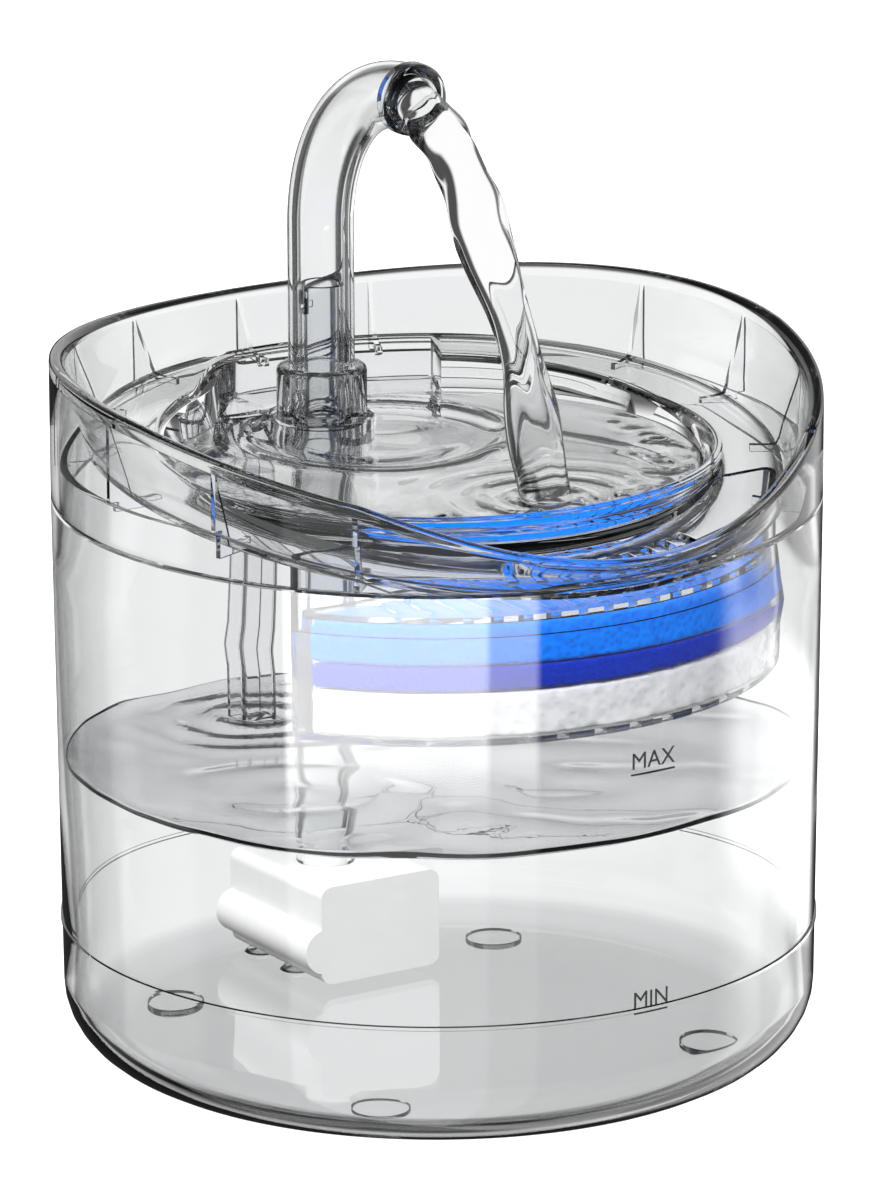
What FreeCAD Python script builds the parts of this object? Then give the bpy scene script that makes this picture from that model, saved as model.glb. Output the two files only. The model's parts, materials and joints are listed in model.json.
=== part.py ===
import FreeCAD, Part
import math
import os

from FreeCAD import Vector

# Pet water fountain: a clear round tank, a clear drinking tray that stands on it, a bent spout,
# a filter box under the tray and a submersible pump on the tank floor.
# Millimetres, +Z up, origin under the middle of the base. The front, where the spout points, is -Y.
# Azimuths are in degrees from the front towards +X.

os.makedirs("parts", exist_ok=True)

# Tank
tank_radius = 90.0
tank_draft = 1.3
tank_wall = 2.2
tank_floor = 3.0
tank_body_height = 133.8
tank_edge_round = 16.0
bead_height = 31.5
bead_size = 0.5
neck_wall = 1.6
neck_height = 10.0
neck_dip = 17.5
neck_clearance = 0.3

# Feet
foot_radius = 7.0
foot_drop = 1.5
foot_recess = 0.8
foot_inset = 0.7
foot_count = 4

# Tray: skirt, sloped inner wall and deck. Side views are (distance behind the front, height over the seam).
skirt_wall = 2.0
tray_wall = 2.0
rim_steep = ((0.0, 4.5), (9.1, 10.9), (26.4, 20.5))
rim_rise = ((26.4, 20.5), (50.0, 26.4), (77.5, 31.5))
rim_back = ((77.5, 31.5), (110.0, 33.8), (180.0, 29.4))
deck_front_height = -3.8
deck_middle_height = 11.4
deck_back_height = 16.2
deck_inset = 6.0
inner_wall_lean = 7.5
rim_land = 0.5
gusset_count = 16
gusset_thickness = 1.2
gusset_neck_gap = 0.5
wall_stations = 32

# Drinking bowl, heights over the seam
gutter_width = 14.0
bowl_lean = 5.0
bowl_curve = 11.5
bowl_lip_height = 11.7
bowl_water_height = 6.2
bowl_depth = 5.5
bowl_wall = 2.0

# Rear bay of the bowl, where the spout stands
bay_land = 3.0
bay_step_azimuth = 147.0
bay_crest_azimuth = 186.0
bay_end_azimuth = 208.0

# Drain slots in the deck, in front of the bowl
drain_slot_count = 9
drain_slot_width = 2.6
drain_slot_pitch = 5.0
drain_slot_margin = 1.6

# Spout and its socket
spout_setback = 40.0
spout_bore_radius = 5.5
spout_wall = 2.4
spout_bend_radius = 38.0
spout_straight = 44.5
collar_wall = 2.8
collar_height = 13.0
collar_clearance = 0.08
seal_height = 2.6
nozzle_length = 4.5
nozzle_wall = 3.1
sleeve_clearance = 0.1
sleeve_wall = 1.2
sleeve_rise = 33.0
sleeve_drop = 14.0
sleeve_notch_width = 3.2
sleeve_notch_height = 5.0
boss_margin = 1.6
boss_stub_drop = 11.0
riser_clearance = 0.05
riser_wall = 1.6

# Return duct from the rear bay down to the water
duct_aside = 15.5
duct_behind = 7.0
duct_width = 9.5
duct_depth = 8.0
duct_wall = 1.2
duct_length = 61.5

# Filter box and the tray's apron that it plugs into
filter_wall_gap = 8.8
filter_depth = 38.5
filter_corner_radius = 2.0
filter_height = 26.0
apron_height = 8.5
filter_wall = 1.5
filter_clearance = 0.3
filter_floor = 1.5
tongue_height = 3.0
tongue_wall = 1.2
cotton_thickness = 11.0
carbon_thickness = 7.5
sponge_thickness = 8.5
grille_thickness = 1.5
grille_slot_width = 2.4
grille_slot_pitch = 6.2
grille_slot_margin = 6.0
filter_floor_slot_width = 3.0
filter_floor_slot_pitch = 9.0
filter_floor_slot_margin = 7.0

# Pump, heights above the top of the tank floor
pump_width = 33.5
pump_aside = 2.25
pump_lead = 21.0
pump_length = 41.5
pump_height = 26.0
pump_wall = 1.8
pump_edge_round = 3.0
pump_cover_length = 15.0
pump_lip_length = 2.5
pump_lip_wall = 1.2
pump_lip_clearance = 0.3
pump_ridge_radius = 6.0
pump_ridge_height = 9.0
pump_ridge_rise = 4.5
intake_slot_count = 6
intake_slot_width = 1.8
intake_slot_length = 8.0
intake_sponge_depth = 7.0
cup_radius = 4.0
cup_height = 2.0
cup_inset = 5.0

# Pump insides, along the rotor axis (parallel to Y)
chamber_radius = 10.4
chamber_length = 9.0
volute_plate = 1.8
volute_intake_radius = 4.0
rotor_radius = 4.5
rotor_length = 10.5
rotor_gap = 0.6
can_wall = 1.0
impeller_radius = 8.6
impeller_hub_radius = 3.0
impeller_blade_count = 6
impeller_blade_thickness = 0.9
impeller_width = 6.2
impeller_gap = 0.8
shaft_radius = 1.0
shaft_clearance = 0.08
bush_radius = 2.2
bush_length = 1.6
core_width = 24.0
core_height = 18.0
core_leg = 4.6
core_length = 8.0
coil_wall = 2.0
coil_height = 8.6
gland_radius = 3.2
gland_length = 4.0
gland_bore_radius = 1.8
nipple_height = 10.0

# Levels and places that follow from the values above
underside = foot_drop
floor_top = underside + tank_floor
seam = underside + tank_body_height
neck_top = seam + neck_height
neck_outer_radius = tank_radius - skirt_wall - neck_clearance
inner_wall_foot_radius = tank_radius - skirt_wall - inner_wall_lean
bowl_lip_radius = inner_wall_foot_radius - gutter_width
bowl_water_radius = bowl_lip_radius - bowl_lean
bowl_floor_radius = bowl_water_radius - bowl_curve
bowl_lip = seam + bowl_lip_height
bowl_water = seam + bowl_water_height
bowl_floor = bowl_water - bowl_depth
bowl_underside = bowl_floor - bowl_wall
bay_floor = bowl_water
bay_radius = inner_wall_foot_radius - bay_land
spout_y = tank_radius - spout_setback
duct_x = -duct_aside
duct_y = spout_y + duct_behind
duct_top = bowl_underside
filter_radius = tank_radius - tank_wall - filter_wall_gap
filter_chord_y = filter_depth - filter_radius
filter_rim = seam + deck_front_height - apron_height
filter_bottom = filter_rim - filter_height
pump_middle_x = pump_aside
pump_front_y = spout_y - pump_lead
spout_outer_radius = spout_bore_radius + spout_wall
sleeve_outer_radius = spout_bore_radius - sleeve_clearance
sleeve_bore_radius = sleeve_outer_radius - sleeve_wall
riser_bore_radius = sleeve_outer_radius + riser_clearance
riser_outer_radius = riser_bore_radius + riser_wall
collar_bore_radius = spout_outer_radius + collar_clearance
collar_outer_radius = collar_bore_radius + collar_wall
spout_bottom = bay_floor + seal_height
bend_level = spout_bottom + spout_straight
outlet_level = bend_level + spout_bend_radius
outlet_y = spout_y - spout_bend_radius
pump_bottom = floor_top + cup_height
pump_top = pump_bottom + pump_height
pump_back_y = pump_front_y + pump_length
pump_split_y = pump_front_y + pump_cover_length
pump_low_x = pump_middle_x - pump_width / 2
pump_high_x = pump_middle_x + pump_width / 2
chamber_back_y = spout_y + chamber_length / 2
rotor_level = pump_bottom + pump_height / 2
nipple_top = pump_top + nipple_height
riser_bottom = pump_top + riser_clearance
reach = tank_radius + 10.0
top_level = outlet_level + tank_radius
UP = Vector(0, 0, 1)
ALONG_Y = Vector(0, 1, 0)
eps = 0.01


def at_azimuth(radius, azimuth, height):
    """Point on a circle about the fountain's axis, with the azimuth from the front towards +X."""
    angle = math.radians(azimuth)
    return Vector(radius * math.sin(angle), -radius * math.cos(angle), height)


def tube(outer, inner, low, high, x=0.0, y=0.0):
    """Upright tube between two levels."""
    body = Part.makeCylinder(outer, high - low, Vector(x, y, low), UP)
    return body.cut(Part.makeCylinder(inner, high - low, Vector(x, y, low), UP))


def rod_along_y(radius, y0, y1, x=0.0, z=rotor_level):
    """Cylinder that lies along Y."""
    return Part.makeCylinder(radius, y1 - y0, Vector(x, y0, z), ALONG_Y)


def block(x0, x1, y0, y1, z0, z1):
    """Upright box between two corners."""
    return Part.makeBox(x1 - x0, y1 - y0, z1 - z0, Vector(x0, y0, z0))


def joined(first, *rest):
    """One solid from several that overlap."""
    shape = first
    for other in rest:
        shape = shape.fuse(other)
    return shape.removeSplitter()


def turned(start, *steps):
    """Solid turned about Z. A step is (r, z) for a line, or ((r, z), (r, z)) for an arc's middle and end."""
    edges = []
    here = Vector(start[0], 0, start[1])
    for step in steps + (start,):
        if isinstance(step[0], tuple):
            middle = Vector(step[0][0], 0, step[0][1])
            end = Vector(step[1][0], 0, step[1][1])
            edges.append(Part.Arc(here, middle, end).toShape())
        else:
            end = Vector(step[0], 0, step[1])
            if end.distanceToPoint(here) < eps:
                continue
            edges.append(Part.LineSegment(here, end).toShape())
        here = end
    return Part.Face(Part.Wire(edges)).revolve(Vector(0, 0, 0), UP, 360)


def arc_height(points, y):
    """Height at y on the upper side of the circle through three side-view points."""
    (ya, za), (yb, zb), (yc, zc) = points
    d = 2 * (ya * (zb - zc) + yb * (zc - za) + yc * (za - zb))
    a2 = ya * ya + za * za
    b2 = yb * yb + zb * zb
    c2 = yc * yc + zc * zc
    centre_y = (a2 * (zb - zc) + b2 * (zc - za) + c2 * (za - zb)) / d
    centre_z = (a2 * (yc - yb) + b2 * (ya - yc) + c2 * (yb - ya)) / d
    radius = math.hypot(ya - centre_y, za - centre_z)
    side = 1.0 if zb > centre_z else -1.0
    return centre_z + side * math.sqrt(radius ** 2 - (y - centre_y) ** 2)


def rim_height(y):
    """Height of the tray's rim at y."""
    behind_front = y + tank_radius
    arc = rim_back
    if behind_front <= rim_rise[2][0]:
        arc = rim_rise
    if behind_front <= rim_steep[2][0]:
        arc = rim_steep
    return seam + arc_height(arc, behind_front)


def deck_height(y):
    """Height of the tray's deck at y."""
    edge = tank_radius - deck_inset
    side_view = ((-edge, deck_front_height), (0.0, deck_middle_height), (edge, deck_back_height))
    return seam + arc_height(side_view, y)


def below_curve(height, breaks, lift, low):
    """Solid across the whole width under a side-view curve, made of one arc between each two breaks."""
    edges = []
    for y0, y1 in zip(breaks, breaks[1:]):
        ends = [Vector(-reach, y, height(y) + lift) for y in (y0, (y0 + y1) / 2, y1)]
        edges.append(Part.Arc(*ends).toShape())
    corners = [Vector(-reach, breaks[-1], height(breaks[-1]) + lift), Vector(-reach, breaks[-1], low),
               Vector(-reach, breaks[0], low), Vector(-reach, breaks[0], height(breaks[0]) + lift)]
    for a, b in zip(corners, corners[1:]):
        edges.append(Part.LineSegment(a, b).toShape())
    return Part.Face(Part.Wire(edges)).extrude(Vector(2 * reach, 0, 0))


def below_rim(lift=0.0):
    """Everything under the tray's rim curve."""
    breaks = [-1.0, rim_steep[2][0], rim_rise[2][0], 2 * tank_radius + 1.0]
    return below_curve(rim_height, [behind_front - tank_radius for behind_front in breaks], lift, 0.0)


def below_deck(lift=0.0):
    """Everything under the tray's deck."""
    return below_curve(deck_height, [-tank_radius - 1.0, tank_radius + 1.0], lift, 0.0)


def inner_wall_loft(offset):
    """Solid inside the tray's sloped inner wall, which leans from its foot on the deck out to the rim."""
    lip_radius = tank_radius - skirt_wall - rim_land
    stations = [float(step) for step in range(wall_stations + 1)]
    wires = []
    for level in (filter_bottom, top_level):
        points = []
        for step in range(wall_stations):
            azimuth = step * 360.0 / wall_stations
            foot = deck_height(at_azimuth(inner_wall_foot_radius, azimuth, 0).y)
            lip = rim_height(at_azimuth(lip_radius, azimuth, 0).y)
            slope = (lip_radius - inner_wall_foot_radius) / (lip - foot)
            radius = inner_wall_foot_radius + slope * (level - foot) + offset
            points.append(at_azimuth(radius, azimuth, level))
        curve = Part.BSplineCurve()
        curve.interpolate(Points=points, PeriodicFlag=True, Parameters=stations)
        wires.append(Part.Wire(curve.toShape()))
    return Part.makeLoft(wires, True, True)


def foot_spot(foot, level):
    """Centre of a foot, on a circle inside the base's rounded edge."""
    ring_radius = tank_radius - tank_draft - tank_edge_round - foot_radius - foot_inset
    return at_azimuth(ring_radius, (foot + 0.5) * 360.0 / foot_count, level)


def water_tank():
    """Clear tank with a rounded bottom edge, a fine bead line and a neck that the tray fits over."""
    outer_foot = tank_radius - tank_draft
    inner_seam = tank_radius - tank_wall
    inner_foot = outer_foot - tank_wall
    neck_inner = neck_outer_radius - neck_wall
    inner_round = tank_edge_round - tank_wall
    diagonal = math.sqrt(0.5)
    band = neck_height
    shell = turned(
        (0.0, underside), (outer_foot - tank_edge_round, underside),
        ((outer_foot - tank_edge_round * (1 - diagonal), underside + tank_edge_round * (1 - diagonal)),
         (outer_foot, underside + tank_edge_round)),
        (tank_radius, seam), (neck_outer_radius, seam), (neck_outer_radius, neck_top),
        (neck_inner, neck_top), (neck_inner, seam - band), (inner_seam, seam - 2 * band),
        (inner_foot, floor_top + inner_round),
        ((inner_foot - inner_round * (1 - diagonal), floor_top + inner_round * (1 - diagonal)),
         (inner_foot - inner_round, floor_top)),
        (0.0, floor_top))
    above_dip = block(-reach, reach, -reach, reach, seam, top_level).cut(below_rim(-neck_dip))
    shell = shell.cut(above_dip)
    level = underside + bead_height
    face = outer_foot + tank_draft * (bead_height - tank_edge_round) / (tank_body_height - tank_edge_round)
    bead = tube(face + bead_size, face - tank_wall / 2, level - bead_size, level + bead_size)
    shell = joined(shell, bead)
    for foot in range(foot_count):
        spot = foot_spot(foot, underside - 1.0)
        shell = shell.cut(Part.makeCylinder(foot_radius, foot_recess + 1.0, spot, UP))
    return shell


def base_feet():
    """Clear soft discs in recesses under the base."""
    height = foot_drop + foot_recess
    feet = []
    for foot in range(foot_count):
        spot = foot_spot(foot, 0.0)
        disc = Part.makeCylinder(foot_radius - sleeve_clearance, height, spot, UP)
        low_edge = [edge for edge in disc.Edges if edge.BoundBox.ZMax < eps]
        feet.append(disc.makeFillet(foot_drop / 3, low_edge))
    return Part.makeCompound(feet)


def bay_outline(margin):
    """Plan of the bowl's rear bay: a radial step on one side and an S-curve on the other."""
    start = at_azimuth(bowl_floor_radius, bay_step_azimuth, 0)
    corner = at_azimuth(bay_radius, bay_step_azimuth, 0)
    crest = at_azimuth(bay_radius, bay_crest_azimuth, 0)
    middle = at_azimuth(bay_radius, (bay_step_azimuth + bay_crest_azimuth) / 2, 0)
    turn = at_azimuth((bay_radius + bowl_lip_radius) / 2, (bay_crest_azimuth + bay_end_azimuth) / 2, 0)
    end = at_azimuth(bowl_water_radius, bay_end_azimuth, 0)
    inner = at_azimuth(bowl_floor_radius, bay_end_azimuth, 0)
    bulge = at_azimuth(bay_radius - 1.5, bay_crest_azimuth + 6.0, 0)
    hollow = at_azimuth(bowl_water_radius + 2.5, bay_end_azimuth - 6.0, 0)
    edges = [Part.LineSegment(start, corner).toShape(),
             Part.Arc(corner, middle, crest).toShape(),
             Part.Arc(crest, bulge, turn).toShape(),
             Part.Arc(turn, hollow, end).toShape(),
             Part.LineSegment(end, inner).toShape(),
             Part.LineSegment(inner, start).toShape()]
    face = Part.Face(Part.Wire(edges))
    if margin:
        face = face.makeOffset2D(margin)
    return face


def raised(face, low, high):
    """Plan outline raised between two levels."""
    lifted = face.copy()
    lifted.translate(Vector(0, 0, low))
    return lifted.extrude(Vector(0, 0, high - low))


def bowl_cup():
    """Outer form of the drinking bowl, from its lip down to its floor."""
    middle = (bowl_water_radius - bowl_wall, (bowl_underside + bowl_water) / 2 - bowl_wall)
    return turned(
        (0.0, bowl_underside), (bowl_floor_radius + bowl_wall, bowl_underside),
        (middle, (bowl_water_radius + bowl_wall, bowl_water)),
        (bowl_lip_radius, bowl_lip), (0.0, bowl_lip))


def bowl_void():
    """Hollow of the bowl with the open space above its lip."""
    lip = bowl_lip_radius - bowl_wall
    middle = (bowl_water_radius - 2 * bowl_wall, (bowl_floor + bowl_water) / 2 - bowl_wall / 2)
    return turned(
        (0.0, bowl_floor), (bowl_floor_radius, bowl_floor),
        (middle, (bowl_water_radius, bowl_water)),
        (lip, bowl_lip), (lip, top_level), (0.0, top_level))


def gussets():
    """Radial ribs between the skirt and the inner wall, notched for the tank's neck."""
    inner = bowl_lip_radius
    length = tank_radius - skirt_wall / 2 - inner
    low = seam + deck_front_height - 3 * tray_wall
    ribs = []
    for step in range(gusset_count):
        azimuth = step * 360.0 / gusset_count
        rib = Part.makeBox(gusset_thickness, length, top_level - low,
                           Vector(-gusset_thickness / 2, -inner - length, low))
        rib.rotate(Vector(0, 0, 0), UP, azimuth)
        ribs.append(rib)
    ribs = Part.makeCompound(ribs)
    between = Part.makeCylinder(tank_radius - skirt_wall / 2, top_level, Vector(0, 0, 0), UP)
    between = between.cut(inner_wall_loft(tray_wall / 2)).common(below_rim(-tray_wall / 2))
    between = between.cut(below_deck(-2 * tray_wall))
    notch_radius = neck_outer_radius - neck_wall - gusset_neck_gap
    neck_notch = tube(tank_radius - skirt_wall, notch_radius, low, neck_top + gusset_neck_gap)
    tank_notch = tube(tank_radius, notch_radius, filter_bottom, seam)
    return ribs.common(between).cut([neck_notch, tank_notch])


def d_outline(inset, chord_inset=None):
    """Plan of the filter box: a circle segment with rounded corners, drawn in by an inset."""
    radius = filter_radius - inset
    chord = filter_chord_y - (inset if chord_inset is None else chord_inset)
    round_radius = max(filter_corner_radius - inset, 1.0)
    centre_y = chord - round_radius
    centre_x = math.sqrt((radius - round_radius) ** 2 - centre_y ** 2)
    touch = Vector(centre_x, centre_y, 0).normalize() * radius
    diagonal = Vector(centre_x, centre_y, 0).normalize() + Vector(0, 1, 0)
    middle = Vector(centre_x, centre_y, 0) + diagonal.normalize() * round_radius
    right_top = Vector(centre_x, chord, 0)
    left_top = Vector(-centre_x, chord, 0)
    left_touch = Vector(-touch.x, touch.y, 0)
    left_middle = Vector(-middle.x, middle.y, 0)
    edges = [Part.Arc(left_touch, Vector(0, -radius, 0), touch).toShape(),
             Part.Arc(touch, middle, right_top).toShape(),
             Part.LineSegment(right_top, left_top).toShape(),
             Part.Arc(left_top, left_middle, left_touch).toShape()]
    return Part.Face(Part.Wire(edges))


def filter_apron():
    """Downward wall of the tray round the top of the filter box."""
    outer = raised(d_outline(0.0), filter_rim, bowl_lip)
    inner = raised(d_outline(filter_wall), filter_rim, bowl_lip)
    return outer.cut(inner).common(below_deck(-tray_wall / 2))


def drain_slots():
    """Radial slots through the deck in front of the bowl, over the filter box."""
    inner = bowl_lip_radius + drain_slot_margin
    outer = filter_radius - filter_wall - drain_slot_margin
    slots = []
    for step in range(drain_slot_count):
        azimuth = (step - (drain_slot_count - 1) / 2) * drain_slot_pitch
        slot = Part.makeBox(drain_slot_width, outer - inner, bowl_lip_radius,
                            Vector(-drain_slot_width / 2, -outer, filter_bottom))
        slot.rotate(Vector(0, 0, 0), UP, azimuth)
        slots.append(slot)
    return Part.makeCompound(slots)


def drinking_tray():
    """Clear tray: skirt, sloped wall, deck, bowl with its rear bay, spout boss and filter apron."""
    within = Part.makeCylinder(tank_radius, top_level, Vector(0, 0, 0), UP)
    deck_under = below_deck(-tray_wall)
    wall_outer = inner_wall_loft(tray_wall)
    skirt = tube(tank_radius, tank_radius - skirt_wall, seam, top_level)
    wall = wall_outer.cut(inner_wall_loft(0.0)).cut(deck_under).common(within)
    upright = skirt.fuse(wall).common(below_rim())
    deck = below_deck().cut(deck_under).common(wall_outer)
    riser = Part.makeCylinder(bowl_lip_radius, top_level - bowl_lip, Vector(0, 0, bowl_lip - bowl_wall), UP)
    riser = riser.common(below_deck())
    bay_shell = raised(bay_outline(bowl_wall), bay_floor - bowl_wall, top_level).common(below_deck())
    tray = upright.fuse([deck, bowl_cup(), riser, bay_shell, filter_apron(), gussets()])
    tray = tray.cut(bowl_void()).cut(raised(bay_outline(0.0), bay_floor, top_level))
    boss_radius = collar_outer_radius + boss_margin
    boss = Part.makeCylinder(boss_radius, bay_floor - bowl_underside, Vector(0, spout_y, bowl_underside), UP)
    stub_radius = riser_outer_radius + sleeve_clearance + bowl_wall
    stub = Part.makeCylinder(stub_radius, boss_stub_drop, Vector(0, spout_y, bay_floor - boss_stub_drop), UP)
    duct_socket = block(duct_x - duct_width / 2, duct_x + duct_width / 2, duct_y - duct_depth / 2,
                        duct_y + duct_depth / 2, duct_top, bay_floor)
    tray = tray.fuse([boss, stub, duct_socket])
    socket_top = bay_floor - bowl_wall
    socket = Part.makeCylinder(riser_outer_radius + sleeve_clearance, boss_stub_drop,
                               Vector(0, spout_y, socket_top - boss_stub_drop), UP)
    sleeve_hole = Part.makeCylinder(sleeve_outer_radius, boss_stub_drop,
                                    Vector(0, spout_y, bay_floor - boss_stub_drop / 2), UP)
    duct_hole = block(duct_x - duct_width / 2 + duct_wall, duct_x + duct_width / 2 - duct_wall,
                      duct_y - duct_depth / 2 + duct_wall, duct_y + duct_depth / 2 - duct_wall,
                      duct_top - 1, bay_floor + 1)
    tray = tray.cut([socket, sleeve_hole, duct_hole, drain_slots()])
    return tray.removeSplitter()


def return_duct():
    """Clear rectangular duct under the rear bay, open at both ends."""
    x0 = duct_x - duct_width / 2
    x1 = duct_x + duct_width / 2
    y0 = duct_y - duct_depth / 2
    y1 = duct_y + duct_depth / 2
    low = duct_top - duct_length
    outer = block(x0, x1, y0, y1, low, duct_top)
    sides = [edge for edge in outer.Edges if edge.BoundBox.ZLength > 1.0]
    outer = outer.makeFillet(duct_wall, sides)
    inner = block(x0 + duct_wall, x1 - duct_wall, y0 + duct_wall, y1 - duct_wall, low - 1, duct_top + 1)
    return outer.cut(inner)


def riser_sleeve():
    """Thin pipe through the spout boss: the riser pushes on below, the spout slides over it above."""
    low = bay_floor - sleeve_drop
    high = bay_floor + sleeve_rise
    pipe = tube(sleeve_outer_radius, sleeve_bore_radius, low, high, 0.0, spout_y)
    near = spout_y - sleeve_notch_width / 2
    notch = block(-sleeve_outer_radius, 0.0, near, near + sleeve_notch_width,
                  high - sleeve_notch_height, high + 1.0)
    foot = block(-sleeve_outer_radius, 0.0, near, near + 2 * sleeve_notch_width,
                 high - sleeve_notch_height - sleeve_notch_width / 2, high - sleeve_notch_height)
    return pipe.cut(notch).cut(foot)


def riser_pipe():
    """Clear pipe from the pump's outlet up into the spout boss."""
    return tube(riser_outer_radius, riser_bore_radius, riser_bottom, bay_floor - bowl_wall, 0.0, spout_y)


def spout_collar():
    """Turning collar on the bay floor that holds the foot of the spout."""
    collar = tube(collar_outer_radius, collar_bore_radius, bay_floor, bay_floor + collar_height, 0.0, spout_y)
    top_edge = [edge for edge in collar.Edges
                if edge.BoundBox.ZMin > bay_floor + collar_height - eps
                and edge.BoundBox.XMax > collar_bore_radius + eps]
    return collar.makeFillet(collar_wall / 3, top_edge)


def spout_seal():
    """Flat ring under the foot of the spout, inside the collar."""
    return tube(collar_bore_radius, spout_bore_radius, bay_floor, bay_floor + seal_height, 0.0, spout_y)


def bent_rod(radius):
    """Upright rod from the spout's foot, then a quarter turn to the front."""
    foot = Vector(0, spout_y, spout_bottom)
    straight = Part.makeCylinder(radius, spout_straight, foot, UP)
    disc = Part.Face(Part.Wire(Part.makeCircle(radius, Vector(0, spout_y, bend_level), UP)))
    bend = disc.revolve(Vector(0, outlet_y, bend_level), Vector(1, 0, 0), 90)
    return straight.fuse(bend)


def spout():
    """Bent clear tube that carries the water up and over the bowl."""
    return bent_rod(spout_outer_radius).cut(bent_rod(spout_bore_radius)).removeSplitter()


def nozzle_ring():
    """Clear ring on the outlet of the spout."""
    outer = spout_bore_radius + nozzle_wall
    low_y = outlet_y - nozzle_length
    ring = rod_along_y(outer, low_y, outlet_y, 0.0, outlet_level)
    front_edge = [edge for edge in ring.Edges if edge.BoundBox.YMax < low_y + eps]
    ring = ring.makeFillet(nozzle_wall / 3, front_edge)
    return ring.cut(rod_along_y(spout_bore_radius, low_y - 1, outlet_y + 1, 0.0, outlet_level))


def filter_box():
    """Clear D-shaped tub with a slotted floor, and a tongue that plugs into the tray's apron."""
    low = filter_bottom
    rim = filter_rim
    tongue_inset = filter_wall + filter_clearance
    tub = raised(d_outline(0.0), low, rim)
    bottom_edges = [edge for edge in tub.Edges if edge.BoundBox.ZMax < low + eps]
    tub = tub.makeFillet(filter_wall, bottom_edges)
    tub = tub.fuse(raised(d_outline(tongue_inset), rim - filter_wall, rim + tongue_height))
    tub = tub.cut(raised(d_outline(tongue_inset + tongue_wall), low + filter_floor, rim + 2 * tongue_height))
    slots = []
    slot_radius = filter_radius - filter_floor_slot_margin
    far = filter_chord_y - filter_floor_slot_margin
    half = math.sqrt(slot_radius ** 2 - far ** 2) - filter_floor_slot_pitch / 2
    count = int(2 * half / filter_floor_slot_pitch)
    for step in range(count + 1):
        x = (step - count / 2) * filter_floor_slot_pitch
        near = -math.sqrt(slot_radius ** 2 - x * x)
        slots.append(block(x - filter_floor_slot_width / 2, x + filter_floor_slot_width / 2,
                           near, far, low - 1, low + filter_floor + 1))
    return tub.cut(Part.makeCompound(slots))


def filter_layer(low, thickness):
    """Filling of the filter box between two levels."""
    inset = filter_wall + filter_clearance + tongue_wall + filter_clearance
    return raised(d_outline(inset), low, low + thickness)


cotton_low = filter_bottom + filter_floor
carbon_low = cotton_low + cotton_thickness
sponge_low = carbon_low + carbon_thickness
grille_low = filter_rim + tongue_height


def filter_grille():
    """Slotted lid on the tongue of the filter box."""
    plate = raised(d_outline(filter_wall + filter_clearance), grille_low, grille_low + grille_thickness)
    slots = []
    half = filter_radius - 2 * grille_slot_margin
    count = int(2 * half / grille_slot_pitch)
    for step in range(count + 1):
        x = (step - count / 2) * grille_slot_pitch
        near = -math.sqrt((filter_radius - grille_slot_margin) ** 2 - x * x)
        far = filter_chord_y - grille_slot_margin
        if far - near > grille_slot_margin:
            slots.append(block(x - grille_slot_width / 2, x + grille_slot_width / 2, near, far,
                               grille_low - 1, grille_low + grille_thickness + 1))
    return plate.cut(Part.makeCompound(slots))


def pump_section(inset, y0, y1):
    """Pump body between two values of Y: a rounded box with a half-round ridge on one side."""
    body = block(pump_low_x + inset, pump_high_x - inset, y0, y1, pump_bottom + inset, pump_top - inset)
    along = [edge for edge in body.Edges if edge.BoundBox.YLength > y1 - y0 - eps]
    return body.makeFillet(max(pump_edge_round - inset, 0.6), along)


def pump_ridge(y0, y1):
    """Half-round ridge along the pump's side."""
    level = pump_bottom + pump_ridge_height
    centre = pump_low_x - pump_ridge_rise + pump_ridge_radius
    ridge = rod_along_y(pump_ridge_radius, y0, y1, centre, level)
    return ridge.cut(block(pump_low_x + pump_wall / 2, pump_high_x, y0, y1, pump_bottom, pump_top))


def pump_cavity():
    """Space for the motor behind the rotor can, open at the back."""
    low_y = chamber_back_y + pump_wall
    space = pump_section(pump_wall, low_y, pump_back_y)
    can = rod_along_y(rotor_radius + rotor_gap + can_wall, low_y, pump_back_y - pump_wall)
    return space.cut(can)


def pump_housing():
    """Pump body: impeller chamber, rotor can, motor space, outlet nipple and the lip for the cover."""
    body = joined(pump_section(0.0, pump_split_y, pump_back_y), pump_ridge(pump_split_y, pump_back_y))
    lip_inset = pump_wall + pump_lip_clearance
    lip = pump_section(lip_inset, pump_split_y - pump_lip_length, pump_split_y + 1)
    lip_front = pump_split_y - 2 * pump_lip_length
    lip = lip.cut(pump_section(lip_inset + pump_lip_wall, lip_front, pump_split_y + 2))
    rotor_spot = Vector(0, spout_y, rotor_level)
    nipple = Part.makeCylinder(sleeve_outer_radius, nipple_top - rotor_level, rotor_spot, UP)
    body = body.fuse([lip, nipple])
    chamber = rod_along_y(chamber_radius, pump_split_y - 1, chamber_back_y)
    can_end = chamber_back_y + rotor_length + rotor_gap
    can_bore = rod_along_y(rotor_radius + rotor_gap, chamber_back_y - 1, can_end)
    rear_seat = rod_along_y(bush_radius, chamber_back_y, can_end + bush_length)
    outlet = Part.makeCylinder(sleeve_bore_radius, nipple_top, rotor_spot, UP)
    body = body.cut([chamber, can_bore, rear_seat, outlet, pump_cavity()])
    return body.removeSplitter()


def volute_cover():
    """Round plate with the intake hole that closes the impeller chamber."""
    plate = rod_along_y(chamber_radius - shaft_clearance, pump_split_y, pump_split_y + volute_plate)
    for step in range(3):
        angle = math.radians(90.0 + step * 120.0)
        middle = (volute_intake_radius + bush_radius) / 2 + shaft_radius
        window = rod_along_y(volute_intake_radius / 2, pump_split_y - 1, pump_split_y + volute_plate + 1,
                             (middle + bush_radius) * math.cos(angle),
                             rotor_level + (middle + bush_radius) * math.sin(angle))
        plate = plate.cut(window)
    seat = rod_along_y(bush_radius, pump_split_y, pump_split_y + bush_length)
    hole = rod_along_y(shaft_radius, pump_split_y, pump_split_y + volute_plate + 1)
    return plate.cut(seat).cut(hole)


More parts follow.
